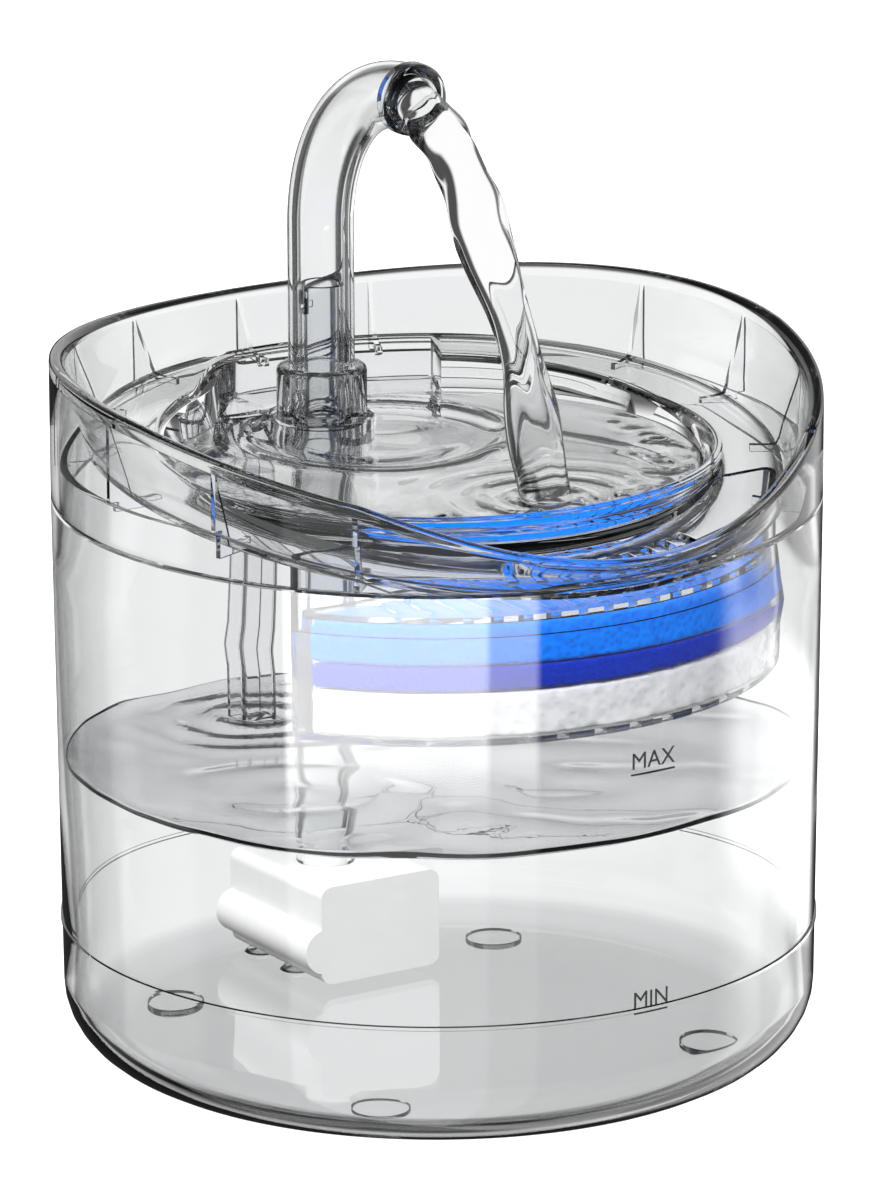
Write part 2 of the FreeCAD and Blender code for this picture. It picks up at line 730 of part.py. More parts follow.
def pump_shaft():
    """Fixed shaft that the rotor turns on."""
    return rod_along_y(shaft_radius, pump_split_y, shaft_back_y)


def shaft_bushes():
    """Soft bushes that hold the two ends of the shaft."""
    front = rod_along_y(bush_radius, pump_split_y, pump_split_y + bush_length)
    rear_low = chamber_back_y + rotor_length + rotor_gap
    rear = rod_along_y(bush_radius, rear_low, rear_low + bush_length)
    hole = pump_shaft()
    return Part.makeCompound([front.cut(hole), rear.cut(hole)])


shaft_back_y = chamber_back_y + rotor_length + rotor_gap + bush_length
impeller_front_y = chamber_back_y - impeller_gap - impeller_width


def impeller():
    """Hub with straight blades, fixed to the front of the rotor magnet."""
    back_y = impeller_front_y + impeller_width
    hub = rod_along_y(impeller_hub_radius, impeller_front_y, chamber_back_y)
    blades = []
    for step in range(impeller_blade_count):
        blade = block(-impeller_blade_thickness / 2, impeller_blade_thickness / 2, impeller_front_y, back_y,
                      rotor_level, rotor_level + impeller_radius)
        blade.rotate(Vector(0, 0, rotor_level), ALONG_Y, step * 360.0 / impeller_blade_count)
        blades.append(blade)
    body = hub.fuse(blades)
    bore = rod_along_y(shaft_radius + shaft_clearance, impeller_front_y - 1, chamber_back_y + 1)
    return body.cut(bore).removeSplitter()


def rotor_magnet():
    """Round magnet in the rotor can."""
    magnet = rod_along_y(rotor_radius, chamber_back_y, chamber_back_y + rotor_length)
    bore = rod_along_y(shaft_radius + shaft_clearance, chamber_back_y - 1, chamber_back_y + rotor_length + 1)
    return magnet.cut(bore)


core_front_y = chamber_back_y + pump_wall + sleeve_clearance
core_x0 = -core_width / 2 + pump_middle_x
core_x1 = core_width / 2 + pump_middle_x


def stator_core():
    """Laminated iron frame round the rotor can, with one leg for the coil."""
    y1 = core_front_y + core_length
    low = rotor_level - core_height / 2
    frame = block(core_x0, core_x1, core_front_y, y1, low, low + core_height)
    window_x0 = rotor_radius + rotor_gap + can_wall + can_wall
    window = block(window_x0, core_x1 - core_leg, core_front_y - 1, y1 + 1,
                   rotor_level - coil_height / 2 - eps, rotor_level + coil_height / 2 + eps)
    bore = rod_along_y(rotor_radius + rotor_gap + can_wall + sleeve_clearance, core_front_y - 1, y1 + 1)
    return frame.cut(window).cut(bore)


def stator_coil():
    """Copper winding on the leg of the core."""
    y1 = core_front_y + core_length
    x0 = core_x1 - core_leg
    outer = block(x0 - coil_wall, core_x1 + coil_wall / 2, core_front_y - eps, y1 + coil_wall / 2,
                  rotor_level - coil_height / 2, rotor_level + coil_height / 2)
    leg = block(x0, core_x1, core_front_y - 1, y1, rotor_level - core_height, rotor_level + core_height)
    return outer.cut(leg)


def pump_potting():
    """Potting that fills the motor space and closes the back of the pump."""
    space = pump_cavity().common(block(-reach, reach, 0, pump_back_y - pump_wall / 4, 0, pump_top))
    gland_hole = rod_along_y(gland_radius, pump_back_y - pump_wall, pump_back_y + 1, gland_x, gland_level)
    return space.cut([stator_core(), stator_coil(), gland_hole])


gland_x = pump_high_x - pump_wall - 2 * gland_radius
gland_level = pump_top - pump_wall - 1.6 * gland_radius


def cable_gland():
    """Soft gland where the lead enters the back of the pump."""
    middle = pump_back_y + gland_length / 2
    root = rod_along_y(gland_radius, pump_back_y - pump_wall, middle, gland_x, gland_level)
    neck = rod_along_y(gland_radius - 0.6, pump_back_y, pump_back_y + gland_length, gland_x, gland_level)
    bore = rod_along_y(gland_bore_radius, pump_back_y, pump_back_y + gland_length + 1, gland_x, gland_level)
    return root.fuse(neck).cut(bore).removeSplitter()


def pump_cover():
    """Front cover of the pump with intake slots in its free side and underside."""
    body = joined(pump_section(0.0, pump_front_y, pump_split_y), pump_ridge(pump_front_y, pump_split_y))
    inside = pump_section(pump_wall, pump_front_y + pump_wall, pump_split_y + 1)
    body = body.cut(inside)
    middle_y = pump_front_y + pump_wall + intake_slot_length / 2
    pitch = (pump_height - 4 * pump_wall) / intake_slot_count
    slots = []
    for step in range(intake_slot_count):
        level = pump_bottom + 2 * pump_wall + pitch * (step + 0.5)
        slots.append(block(pump_high_x - 2 * pump_wall, pump_high_x + 1, middle_y - intake_slot_length / 2,
                           middle_y + intake_slot_length / 2, level - intake_slot_width / 2,
                           level + intake_slot_width / 2))
    return body.cut(Part.makeCompound(slots))


def intake_sponge():
    """Foam block behind the intake slots."""
    low_y = pump_front_y + pump_wall + filter_clearance
    return pump_section(pump_wall + filter_clearance, low_y, low_y + intake_sponge_depth)


def suction_cups():
    """Small clear cups under the pump."""
    cups = []
    for x in (pump_low_x + cup_inset, pump_high_x - cup_inset):
        for y in (pump_split_y + cup_inset, pump_back_y - cup_inset):
            cup = turned((0.0, floor_top + cup_height / 2), (cup_radius * 0.7, floor_top),
                         (cup_radius, floor_top), (cup_radius / 2, pump_bottom), (0.0, pump_bottom))
            cup.translate(Vector(x, y, 0))
            cups.append(cup)
    return Part.makeCompound(cups)


def carbon_layer():
    """Dark layer of carbon felt over the cotton."""
    return filter_layer(carbon_low, carbon_thickness)


def cotton_pad():
    """White cotton at the bottom of the filter box."""
    return filter_layer(cotton_low, cotton_thickness)


def filter_sponge():
    """Blue sponge on top of the filter box's filling."""
    return filter_layer(sponge_low, min(sponge_thickness, grille_low - sponge_low))


pieces = (water_tank, base_feet, drinking_tray, return_duct, riser_sleeve, riser_pipe, spout_collar,
          spout_seal, spout, nozzle_ring, filter_box, filter_grille, filter_sponge, carbon_layer, cotton_pad,
          pump_housing, volute_cover, pump_shaft, shaft_bushes, impeller, rotor_magnet, stator_core,
          stator_coil, pump_potting, cable_gland, pump_cover, intake_sponge, suction_cups)

for make in pieces:
    make().exportStep("parts/" + make.__name__ + ".step")
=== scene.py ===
"""Looks of the pet water fountain: clear tank and tray, bent spout, filter box, pump and moving water."""

import functools
import json
import logging
import math
from dataclasses import dataclass
from enum import Enum
from typing import Callable, Sequence

import bpy
import bmesh
from mathutils import Matrix, Quaternion, Vector, noise

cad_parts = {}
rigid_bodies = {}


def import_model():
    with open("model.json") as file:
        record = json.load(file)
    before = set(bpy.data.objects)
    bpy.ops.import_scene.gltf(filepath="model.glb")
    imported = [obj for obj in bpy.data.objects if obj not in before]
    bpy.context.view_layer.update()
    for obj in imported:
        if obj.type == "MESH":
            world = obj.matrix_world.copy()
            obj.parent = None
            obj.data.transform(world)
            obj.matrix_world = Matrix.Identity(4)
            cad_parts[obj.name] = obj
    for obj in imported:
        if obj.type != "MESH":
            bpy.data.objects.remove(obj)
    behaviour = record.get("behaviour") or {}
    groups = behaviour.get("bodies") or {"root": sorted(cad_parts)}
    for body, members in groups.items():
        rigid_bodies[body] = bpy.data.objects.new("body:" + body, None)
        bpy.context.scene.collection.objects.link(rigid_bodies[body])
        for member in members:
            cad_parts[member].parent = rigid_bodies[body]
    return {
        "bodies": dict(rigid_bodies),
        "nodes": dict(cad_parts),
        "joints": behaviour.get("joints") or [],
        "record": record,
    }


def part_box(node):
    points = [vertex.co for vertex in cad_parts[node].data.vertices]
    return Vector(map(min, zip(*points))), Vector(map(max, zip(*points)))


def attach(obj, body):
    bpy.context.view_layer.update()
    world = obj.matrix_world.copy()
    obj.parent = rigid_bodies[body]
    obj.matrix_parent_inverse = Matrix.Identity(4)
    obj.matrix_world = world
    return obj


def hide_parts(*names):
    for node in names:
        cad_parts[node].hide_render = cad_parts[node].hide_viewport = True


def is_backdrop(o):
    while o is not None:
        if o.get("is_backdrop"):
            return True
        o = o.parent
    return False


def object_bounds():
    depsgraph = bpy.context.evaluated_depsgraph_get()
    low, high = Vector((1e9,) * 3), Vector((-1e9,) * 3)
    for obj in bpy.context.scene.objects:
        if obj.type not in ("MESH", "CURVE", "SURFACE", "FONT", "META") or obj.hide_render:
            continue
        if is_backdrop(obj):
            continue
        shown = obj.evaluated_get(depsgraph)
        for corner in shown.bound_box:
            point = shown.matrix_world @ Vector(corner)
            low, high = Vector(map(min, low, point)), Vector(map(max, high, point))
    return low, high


log = logging.getLogger("fountain")

MM = 0.001
FOOT_DROP = 1.5
VIEW_AZIMUTH = -33.0
Point2 = tuple[float, float]
Color = tuple[float, float, float]


class Body(Enum):
    """Moving bodies of the fountain."""

    TANK = "tank"
    TRAY = "tray"
    COLLAR = "collar"
    SPOUT = "spout_arm"
    FILTER = "filter"
    COVER = "cover"
    ROTOR = "rotor"


def lerp(a: float, b: float, t: float) -> float:
    """Value between a and b."""
    return a + (b - a) * t


def smoothstep(low: float, high: float, value: float) -> float:
    """Smooth ramp from 0 at low to 1 at high."""
    t = min(max((value - low) / (high - low), 0.0), 1.0)
    return t * t * (3.0 - 2.0 * t)


def arc_height(points: Sequence[Point2], y: float) -> float:
    """Height at y on the upper side of the circle through three points.

    Args:
        points: three (y, z) points of a side view.
        y: place along the side view.

    Returns:
        The height there.
    """
    (ya, za), (yb, zb), (yc, zc) = points
    d = 2 * (ya * (zb - zc) + yb * (zc - za) + yc * (za - zb))
    a2, b2, c2 = ya * ya + za * za, yb * yb + zb * zb, yc * yc + zc * zc
    centre_y = (a2 * (zb - zc) + b2 * (zc - za) + c2 * (za - zb)) / d
    centre_z = (a2 * (yc - yb) + b2 * (ya - yc) + c2 * (yb - ya)) / d
    radius = math.hypot(ya - centre_y, za - centre_z)
    side = 1.0 if zb > centre_z else -1.0
    return centre_z + side * math.sqrt(max(radius ** 2 - (y - centre_y) ** 2, 0.0))


@dataclass(frozen=True)
class Sizes:
    """Sizes of the fountain in millimetres, as the CAD has them."""

    radius: float = 90.0
    draft: float = 1.3
    wall: float = 2.2
    floor: float = 3.0
    body_height: float = 133.8
    edge_round: float = 16.0
    bead_height: float = 31.5
    bead: float = 0.5
    neck_wall: float = 1.6
    neck_height: float = 10.0
    neck_dip: float = 17.5
    neck_gap: float = 0.3
    skirt: float = 2.0
    tray_wall: float = 1.6
    rim_steep: tuple[Point2, ...] = ((0.0, 4.5), (9.1, 10.9), (26.4, 20.5))
    rim_rise: tuple[Point2, ...] = ((26.4, 20.5), (50.0, 26.4), (77.5, 31.5))
    rim_back: tuple[Point2, ...] = ((77.5, 31.5), (110.0, 33.8), (180.0, 29.4))
    deck_side: tuple[Point2, ...] = ((-84.0, -3.8), (0.0, 11.4), (84.0, 16.2))
    wall_lean: float = 7.0
    wall_foot_inset: float = 7.5
    gutter: float = 14.0
    bowl_lean: float = 5.0
    bowl_curve: float = 11.5
    bowl_wall: float = 2.0
    bowl_depth: float = 5.5
    lip_height: float = 11.7
    lip_width: float = 2.0
    water_height: float = 6.2
    water_lift: float = 0.9
    bay_land: float = 3.0
    bay_step: float = 147.0
    bay_crest: float = 183.0
    bay_end: float = 211.0
    spout_y: float = 50.0
    spout_bore: float = 5.5
    spout_radius: float = 7.9
    bend: float = 38.0
    duct: tuple[float, float, float, float] = (-20.25, 53.0, -10.75, 61.0)
    duct_wall: float = 1.2
    filter_gap: float = 8.8
    filter_depth: float = 38.5
    filter_corner: float = 2.0
    apron_drop: float = 8.5
    box_height: float = 26.0
    box_wall: float = 1.5
    tank_water: float = 71.5

    @property
    def seam(self) -> float:
        """Level of the seam between the tank and the tray."""
        return FOOT_DROP + self.body_height

    @property
    def floor_top(self) -> float:
        """Level of the tank's floor inside."""
        return FOOT_DROP + self.floor

    @property
    def foot_radius(self) -> float:
        """Outer radius of the tank above its rounded edge."""
        return self.radius - self.draft

    @property
    def wall_foot(self) -> float:
        """Radius of the sloped wall's foot on the deck."""
        return self.radius - self.skirt - self.wall_foot_inset

    @property
    def lip(self) -> float:
        """Outer radius of the bowl's lip."""
        return self.wall_foot - self.gutter

    @property
    def water_radius(self) -> float:
        """Radius of the bowl at its water line."""
        return self.lip - self.bowl_lean

    @property
    def bowl_water(self) -> float:
        """Level of the water in the bowl."""
        return self.seam + self.water_height

    @property
    def bowl_floor(self) -> float:
        """Level of the bowl's floor."""
        return self.bowl_water - self.bowl_depth

    @property
    def bay(self) -> float:
        """Radius of the rear bay."""
        return self.wall_foot - self.bay_land

    @property
    def apron_low(self) -> float:
        """Lower edge of the filter apron."""
        return self.seam + self.deck_side[0][1] - self.apron_drop

    def rim(self, y: float) -> float:
        """Height of the rim at y."""
        behind = y + self.radius
        arc = self.rim_back
        if behind <= self.rim_rise[2][0]:
            arc = self.rim_rise
        if behind <= self.rim_steep[2][0]:
            arc = self.rim_steep
        return self.seam + arc_height(arc, behind)

    def deck(self, y: float) -> float:
        """Height of the deck at y."""
        return self.seam + arc_height(self.deck_side, y)

    def outside(self, level: float) -> float:
        """Outer radius of the tank's wall at a level."""
        low = FOOT_DROP + self.edge_round
        return self.foot_radius + self.draft * (level - low) / (self.seam - low)

    def wall_inside(self, level: float) -> float:
        """Inner radius of the tank's wall at a level."""
        return self.outside(level) - self.wall


SIZE = Sizes()


class Shapes:
    """Mesh builders. Points are in millimetres, meshes in metres."""

    @staticmethod
    def finish(name: str, bm: bmesh.types.BMesh, sharp_deg: float = 40.0) -> bpy.types.Object:
        """Turns a bmesh in millimetres into a smooth-shaded object.

        Args:
            name: the piece's name.
            bm: its mesh, which is freed.
            sharp_deg: edges over this angle are shaded sharp.

        Returns:
            The object, at the origin.
        """
        bmesh.ops.remove_doubles(bm, verts=bm.verts, dist=1e-4)
        bmesh.ops.recalc_face_normals(bm, faces=bm.faces)
        mesh = bpy.data.meshes.new(name)
        bm.to_mesh(mesh)
        bm.free()
        mesh.transform(Matrix.Scale(MM, 4))
        mesh.shade_smooth()
        mesh.set_sharp_from_angle(angle=math.radians(sharp_deg))
        obj = bpy.data.objects.new(name, mesh)
        bpy.context.scene.collection.objects.link(obj)
        return obj

    @staticmethod
    def loops(bm: bmesh.types.BMesh, rings: Sequence[Sequence[Vector]], closed: bool) -> None:
        """Skins equal rings of points with quads.

        Args:
            bm: the mesh that gets the faces.
            rings: the rings in turn.
            closed: whether the last ring is joined to the first.
        """
        made = [[bm.verts.new(p) for p in ring] for ring in rings]
        pairs = list(zip(made, made[1:])) + ([(made[-1], made[0])] if closed else [])
        for a, b in pairs:
            for i in range(len(a)):
                j = (i + 1) % len(a)
                bm.faces.new((a[i], a[j], b[j], b[i]))

    @staticmethod
    def polar(name: str, section: Callable[[float], Sequence[Point2]], steps: int) -> bpy.types.Object:
        """Shell turned about the fountain's axis whose section changes with the azimuth.

        Args:
            name: the piece's name.
            section: gives the (radius, height) points at an azimuth in degrees, from axis to axis.
            steps: number of sections in a turn.

        Returns:
            The object.
        """
        bm = bmesh.new()
        columns = []
        for step in range(steps):
            azimuth = step * 360.0 / steps
            s, c = math.sin(math.radians(azimuth)), -math.cos(math.radians(azimuth))
            columns.append([bm.verts.new((r * s, r * c, z)) for r, z in section(azimuth)])
        for a, b in zip(columns, columns[1:] + columns[:1]):
            for i in range(len(a) - 1):
                bm.faces.new((a[i], a[i + 1], b[i + 1], b[i]))
        return Shapes.finish(name, bm)

    @staticmethod
    def lathe(name: str, profile: Sequence[Point2], centre: Point2, steps: int) -> bpy.types.Object:
        """Ring or solid turned about an upright axis.

        Args:
            name: the piece's name.
            profile: closed profile of (radius, height) points.
            centre: place of the axis.
            steps: number of steps in a turn.

        Returns:
            The object.
        """
        bm = bmesh.new()
        rings = []
        for step in range(steps):
            a = 2 * math.pi * step / steps
            rings.append([Vector((centre[0] + r * math.cos(a), centre[1] + r * math.sin(a), z))
                          for r, z in profile])
        Shapes.loops(bm, rings, True)
        return Shapes.finish(name, bm)

    @staticmethod
    def post(name: str, radius: float, low: float, high: float, centre: Point2,
             steps: int) -> bpy.types.Object:
        """Upright round post between two levels."""
        return Shapes.lathe(name, [(0.01, low), (radius, low), (radius, high), (0.01, high)], centre, steps)

    @staticmethod
    def pipe(name: str, path: Sequence[Vector], radii: Sequence[float], bore: float,
             sides: int = 56) -> bpy.types.Object:
        """Round pipe along a path, with flat ends.

        Args:
            name: the piece's name.
            path: centre points in millimetres.
            radii: outer radius at each point.
            bore: inner radius.
            sides: number of sides.

        Returns:
            The object.
        """
        outer, inner = [], []
        side = Vector((1.0, 0.0, 0.0))
        turn = [(math.cos(2 * math.pi * k / sides), math.sin(2 * math.pi * k / sides)) for k in range(sides)]
        for i, p in enumerate(path):
            ahead = (path[min(i + 1, len(path) - 1)] - path[max(i - 1, 0)]).normalized()
            side = (side - ahead * side.dot(ahead)).normalized()
            other = ahead.cross(side)
            outer.append([p + (side * c + other * s) * radii[i] for c, s in turn])
            inner.append([p + (side * c + other * s) * bore for c, s in turn])
        bm = bmesh.new()
        Shapes.loops(bm, outer + inner[::-1], True)
        return Shapes.finish(name, bm)

    @staticmethod
    def prism(name: str, outline: Sequence[Point2], low: float, high: float,
              place: Callable[[float, float, float], Vector] | None = None) -> bpy.types.Object:
        """Closed prism from an outline between two levels.

        Args:
            name: the piece's name.
            outline: points of the outline.
            low: first level.
            high: second level.
            place: turns (u, v, level) into a point, upright in Z by default.

        Returns:
            The object.
        """
        put = place or (lambda u, v, level: Vector((u, v, level)))
        bm = bmesh.new()
        bottom = [bm.verts.new(put(u, v, low)) for u, v in outline]
        top = [bm.verts.new(put(u, v, high)) for u, v in outline]
        bm.faces.new(bottom[::-1])
        bm.faces.new(top)
        for i in range(len(outline)):
            j = (i + 1) % len(outline)
            bm.faces.new((bottom[i], bottom[j], top[j], top[i]))
        return Shapes.finish(name, bm, 30.0)

    @staticmethod
    def bar(name: str, plan: tuple[float, float, float, float], low: float, high: float) -> bpy.types.Object:
        """Upright block over a plan of two corners (x0, y0, x1, y1)."""
        x0, y0, x1, y1 = plan
        return Shapes.prism(name, [(x0, y0), (x1, y0), (x1, y1), (x0, y1)], low, high)

    @staticmethod
    def sheet(name: str, place: Callable[[float, int, float], Vector], rings: int, steps: int,
              thick: float) -> bpy.types.Object:
        """Closed round sheet of water, whose two sides are rings of points.

        Args:
            name: the piece's name.
            place: point at a share of the radius, a step round and a depth under the top.
            rings: number of rings.
            steps: points in a ring.
            thick: thickness of the sheet.

        Returns:
            The object.
        """
        top, under = ([[place(i / rings, k, drop) for k in range(steps)] for i in range(rings + 1)]
                      for drop in (0.0, thick))
        bm = bmesh.new()
        Shapes.loops(bm, top + under[::-1], False)
        return Shapes.finish(name, bm, 60.0)

    @staticmethod
    def applied(obj: bpy.types.Object) -> bpy.types.Object:
        """Turns an object's modifiers into its own mesh."""
        dg = bpy.context.evaluated_depsgraph_get()
        mesh = bpy.data.meshes.new_from_object(obj.evaluated_get(dg))
        obj.modifiers.clear()
        obj.data = mesh
        return obj

    @staticmethod
    def combine(target: bpy.types.Object, tools: Sequence[bpy.types.Object],
                operation: str) -> bpy.types.Object:
        """Adds or cuts each tool and deletes it.

        Args:
            target: the piece that changes.
            tools: closed meshes.
            operation: UNION or DIFFERENCE.

        Returns:
            The target.
        """
        for tool in tools:
            change = target.modifiers.new("shape", "BOOLEAN")
            change.operation, change.object, change.solver = operation, tool, "EXACT"
        Shapes.applied(target)
        for tool in tools:
            bpy.data.objects.remove(tool)
        target.data.shade_smooth()
        target.data.set_sharp_from_angle(angle=math.radians(35.0))
        return target

    @staticmethod
    def soften(block: bpy.types.Object, round_by: float, cell: float, rough: float,
               wander: Callable[[Vector], float]) -> bpy.types.Object:
        """Rounds a block's edges and makes its face uneven.

        Args:
            block: the piece that changes.
            round_by: radius of its edges.
            cell: size of its surface's grid.
            rough: how far the face moves where wander is 1.
            wander: gives the face's unevenness at a point in metres.

        Returns:
            The block.
        """
        edge = block.modifiers.new("edge", "BEVEL")
        edge.width, edge.segments = round_by * MM, 3
        edge.limit_method, edge.angle_limit = "ANGLE", math.radians(50)
        grid = block.modifiers.new("grid", "REMESH")
        grid.mode, grid.voxel_size = "VOXEL", cell * MM
        Shapes.applied(block)
        for v in block.data.vertices:
            v.co += v.normal * wander(v.co) * rough * MM
        block.data.shade_smooth()
        return block


class Wiring:
    """Adds nodes to one tree, with numbers, colours or sockets as their inputs."""

    def __init__(self, tree: bpy.types.NodeTree) -> None:
        """Takes the tree."""
        self.nodes, self.links = tree.nodes, tree.links

    def feed(self, node: bpy.types.Node, values: dict[str | int, object]) -> bpy.types.Node:
        """Sets or links some of a node's inputs.

        Args:
            node: the node.
            values: a number, colour or socket for each input.

        Returns:
            The node.
        """
        for label, value in values.items():
            if isinstance(value, bpy.types.NodeSocket):
                self.links.new(value, node.inputs[label])
            else:
                node.inputs[label].default_value = value
        return node

    def add(self, kind: str, values: dict[str | int, object]) -> bpy.types.Node:
        """New node of a kind with its inputs."""
        return self.feed(self.nodes.new(f"ShaderNode{kind}"), values)

    def group(self, tree: bpy.types.ShaderNodeTree, values: dict[str | int, object]) -> bpy.types.Node:
        """New node of a shared group with its inputs."""
        node = self.nodes.new("ShaderNodeGroup")
        node.node_tree = tree
        return self.feed(node, values)

    def mix(self, first: Color, second: Color, share: bpy.types.NodeSocket) -> bpy.types.NodeSocket:
        """Colour between two."""
        node = self.nodes.new("ShaderNodeMix")
        node.data_type = "RGBA"
        self.feed(node, {"A": (*first, 1.0), "B": (*second, 1.0), "Factor": share})
        return node.outputs["Result"]

    def bump(self, height: bpy.types.NodeSocket, strength: float, distance: float) -> bpy.types.NodeSocket:
        """Normal that follows a height."""
        node = self.add("Bump", {"Strength": strength, "Distance": distance, "Height": height})
        return node.outputs["Normal"]

    @classmethod
    def material(cls, name: str) -> tuple[bpy.types.Material, "Wiring", bpy.types.Node]:
        """New material, the wiring of its tree and its Principled node."""
        mat = bpy.data.materials.new(name)
        mat.use_nodes = True
        return mat, cls(mat.node_tree), mat.node_tree.nodes["Principled BSDF"]


class Groups:
    """Shader node groups that several finishes share, each built once."""

    @staticmethod
    def new(name: str, inputs: dict[str, float], outputs: Sequence[str]
            ) -> tuple[bpy.types.ShaderNodeTree, bpy.types.Node, bpy.types.Node]:
        """Empty group whose sockets are numbers.

        Args:
            name: the group's name.
            inputs: start value of each input.
            outputs: names of the outputs.

        Returns:
            The tree, its input node and its output node.
        """
        tree = bpy.data.node_groups.new(name, "ShaderNodeTree")
        for label, value in inputs.items():
            sock = tree.interface.new_socket(label, in_out="INPUT", socket_type="NodeSocketFloat")
            sock.default_value = value
        for label in outputs:
            tree.interface.new_socket(label, in_out="OUTPUT", socket_type="NodeSocketFloat")
        return tree, tree.nodes.new("NodeGroupInput"), tree.nodes.new("NodeGroupOutput")

    @staticmethod
    @functools.cache
    def moulded() -> bpy.types.ShaderNodeTree:
        """Slow waves and faint handling marks of moulded plastic: a height and a roughness."""
        inputs = {"Wave Scale": 30.0, "Mark Scale": 220.0, "Roughness Low": 0.0, "Roughness High": 0.04}
        tree, given, made = Groups.new("moulded_surface", inputs, ("Height", "Roughness"))
        wiring = Wiring(tree)
        place = wiring.add("TexCoord", {}).outputs["Object"]
        waves = wiring.add("TexNoise", {"Vector": place, "Scale": given.outputs["Wave Scale"], "Detail": 1.0})
        marks = wiring.add("TexNoise", {"Vector": place, "Scale": given.outputs["Mark Scale"], "Detail": 4.0})
        spread = wiring.add("MapRange", {"Value": marks.outputs["Fac"], "From Min": 0.45, "From Max": 0.75,
                                         "To Min": given.outputs["Roughness Low"],
                                         "To Max": given.outputs["Roughness High"]})
        wiring.feed(made, {"Height": waves.outputs["Fac"], "Roughness": spread.outputs["Result"]})
        return tree

    @staticmethod
    @functools.cache
    def pores() -> bpy.types.ShaderNodeTree:
        """Open cells of foam or fibres of wadding: a height and a shade."""
        tree, given, made = Groups.new("open_cells", {"Scale": 900.0, "Shade": 0.7}, ("Height", "Shade"))
        wiring = Wiring(tree)
        place = wiring.add("TexCoord", {}).outputs["Object"]
        cells = wiring.add("TexVoronoi", {"Vector": place, "Scale": given.outputs["Scale"]})
        cells.feature = "SMOOTH_F1"
        shade = wiring.add("MapRange", {"Value": cells.outputs["Distance"], "From Min": 0.1, "From Max": 0.6,
                                        "To Min": given.outputs["Shade"], "To Max": 1.0})
        wiring.feed(made, {"Height": cells.outputs["Distance"], "Shade": shade.outputs["Result"]})
        return tree


@dataclass(frozen=True)
class Clear:
    """Clear moulded plastic, silicone or water."""

    name: str
    color: Color = (0.985, 0.99, 0.992)
    ior: float = 1.49
    rough_low: float = 0.0
    rough_high: float = 0.02
    wave_scale: float = 22.0
    bump: float = 0.02
    wave_depth: float = 0.002
    # Colour of painted grey shade under base_level; None paints none.
    painted_shade_color: Color | None = None
    base_level: float = 7.0
    base_blend: float = 2.0

    def paint_base_shade(self, tree: Wiring) -> bpy.types.NodeSocket:
        """Colour of the plastic, darkened under a level by painted grey shade."""
        coords = tree.add("TexCoord", {})
        parts = tree.add("SeparateXYZ", {"Vector": coords.outputs["Object"]})
        above = tree.add("MapRange", {"Value": parts.outputs["Z"], "From Min": self.base_level * MM,
                                      "From Max": (self.base_level + self.base_blend) * MM})
        return tree.mix(self.painted_shade_color, self.color, above.outputs["Result"])

    def build(self) -> bpy.types.Material:
        """Makes the material."""
        mat, tree, bsdf = Wiring.material(self.name)
        surface = tree.group(Groups.moulded(), {
            "Wave Scale": self.wave_scale, "Roughness Low": self.rough_low,
            "Roughness High": self.rough_high})
        tree.feed(bsdf, {"Base Color": (*self.color, 1.0), "Transmission Weight": 1.0, "IOR": self.ior,
                         "Roughness": surface.outputs["Roughness"],
                         "Normal": tree.bump(surface.outputs["Height"], self.bump, self.wave_depth)})
        # Painted grey shade under base_level.
        if self.painted_shade_color:
            tree.feed(bsdf, {"Base Color": self.paint_base_shade(tree)})
        return mat


@dataclass(frozen=True)
class Solid:
    """Opaque plastic, rubber or metal with slight wear."""

    name: str
    color: Color
    roughness: float = 0.35
    metallic: float = 0.0
    bump: float = 0.05
    grain: float = 400.0
    grain_depth: float = 0.0004
    worn_roughness: float = 0.15
    worn_shade: float = 0.93

    def build(self) -> bpy.types.Material:
        """Makes the material."""
        mat, tree, bsdf = Wiring.material(self.name)
        surface = tree.group(Groups.moulded(), {
            "Wave Scale": self.grain, "Roughness Low": self.roughness,
            "Roughness High": min(self.roughness + self.worn_roughness, 1.0)})
        height = surface.outputs["Height"]
        worn = tuple(c * self.worn_shade for c in self.color)
        tree.feed(bsdf, {"Metallic": self.metallic, "Base Color": tree.mix(self.color, worn, height),
                         "Roughness": surface.outputs["Roughness"],
                         "Normal": tree.bump(height, self.bump, self.grain_depth)})
        return mat


@dataclass(frozen=True)
class Foam:
    """Open-cell foam, felt or wadding."""

    name: str
    color: Color
    shadow: Color
    scale: float = 900.0
    bump: float = 0.5
    cell_depth: float = 0.0006
    roughness: float = 0.9
    sheen: float = 0.15

    def build(self) -> bpy.types.Material:
        """Makes the material."""
        mat, tree, bsdf = Wiring.material(self.name)
        cells = tree.group(Groups.pores(), {"Scale": self.scale, "Shade": 0.0})
        tree.feed(bsdf, {"Roughness": self.roughness, "Sheen Weight": self.sheen,
                         "Base Color": tree.mix(self.shadow, self.color, cells.outputs["Shade"]),
                         "Normal": tree.bump(cells.outputs["Height"], self.bump, self.cell_depth)})
        return mat


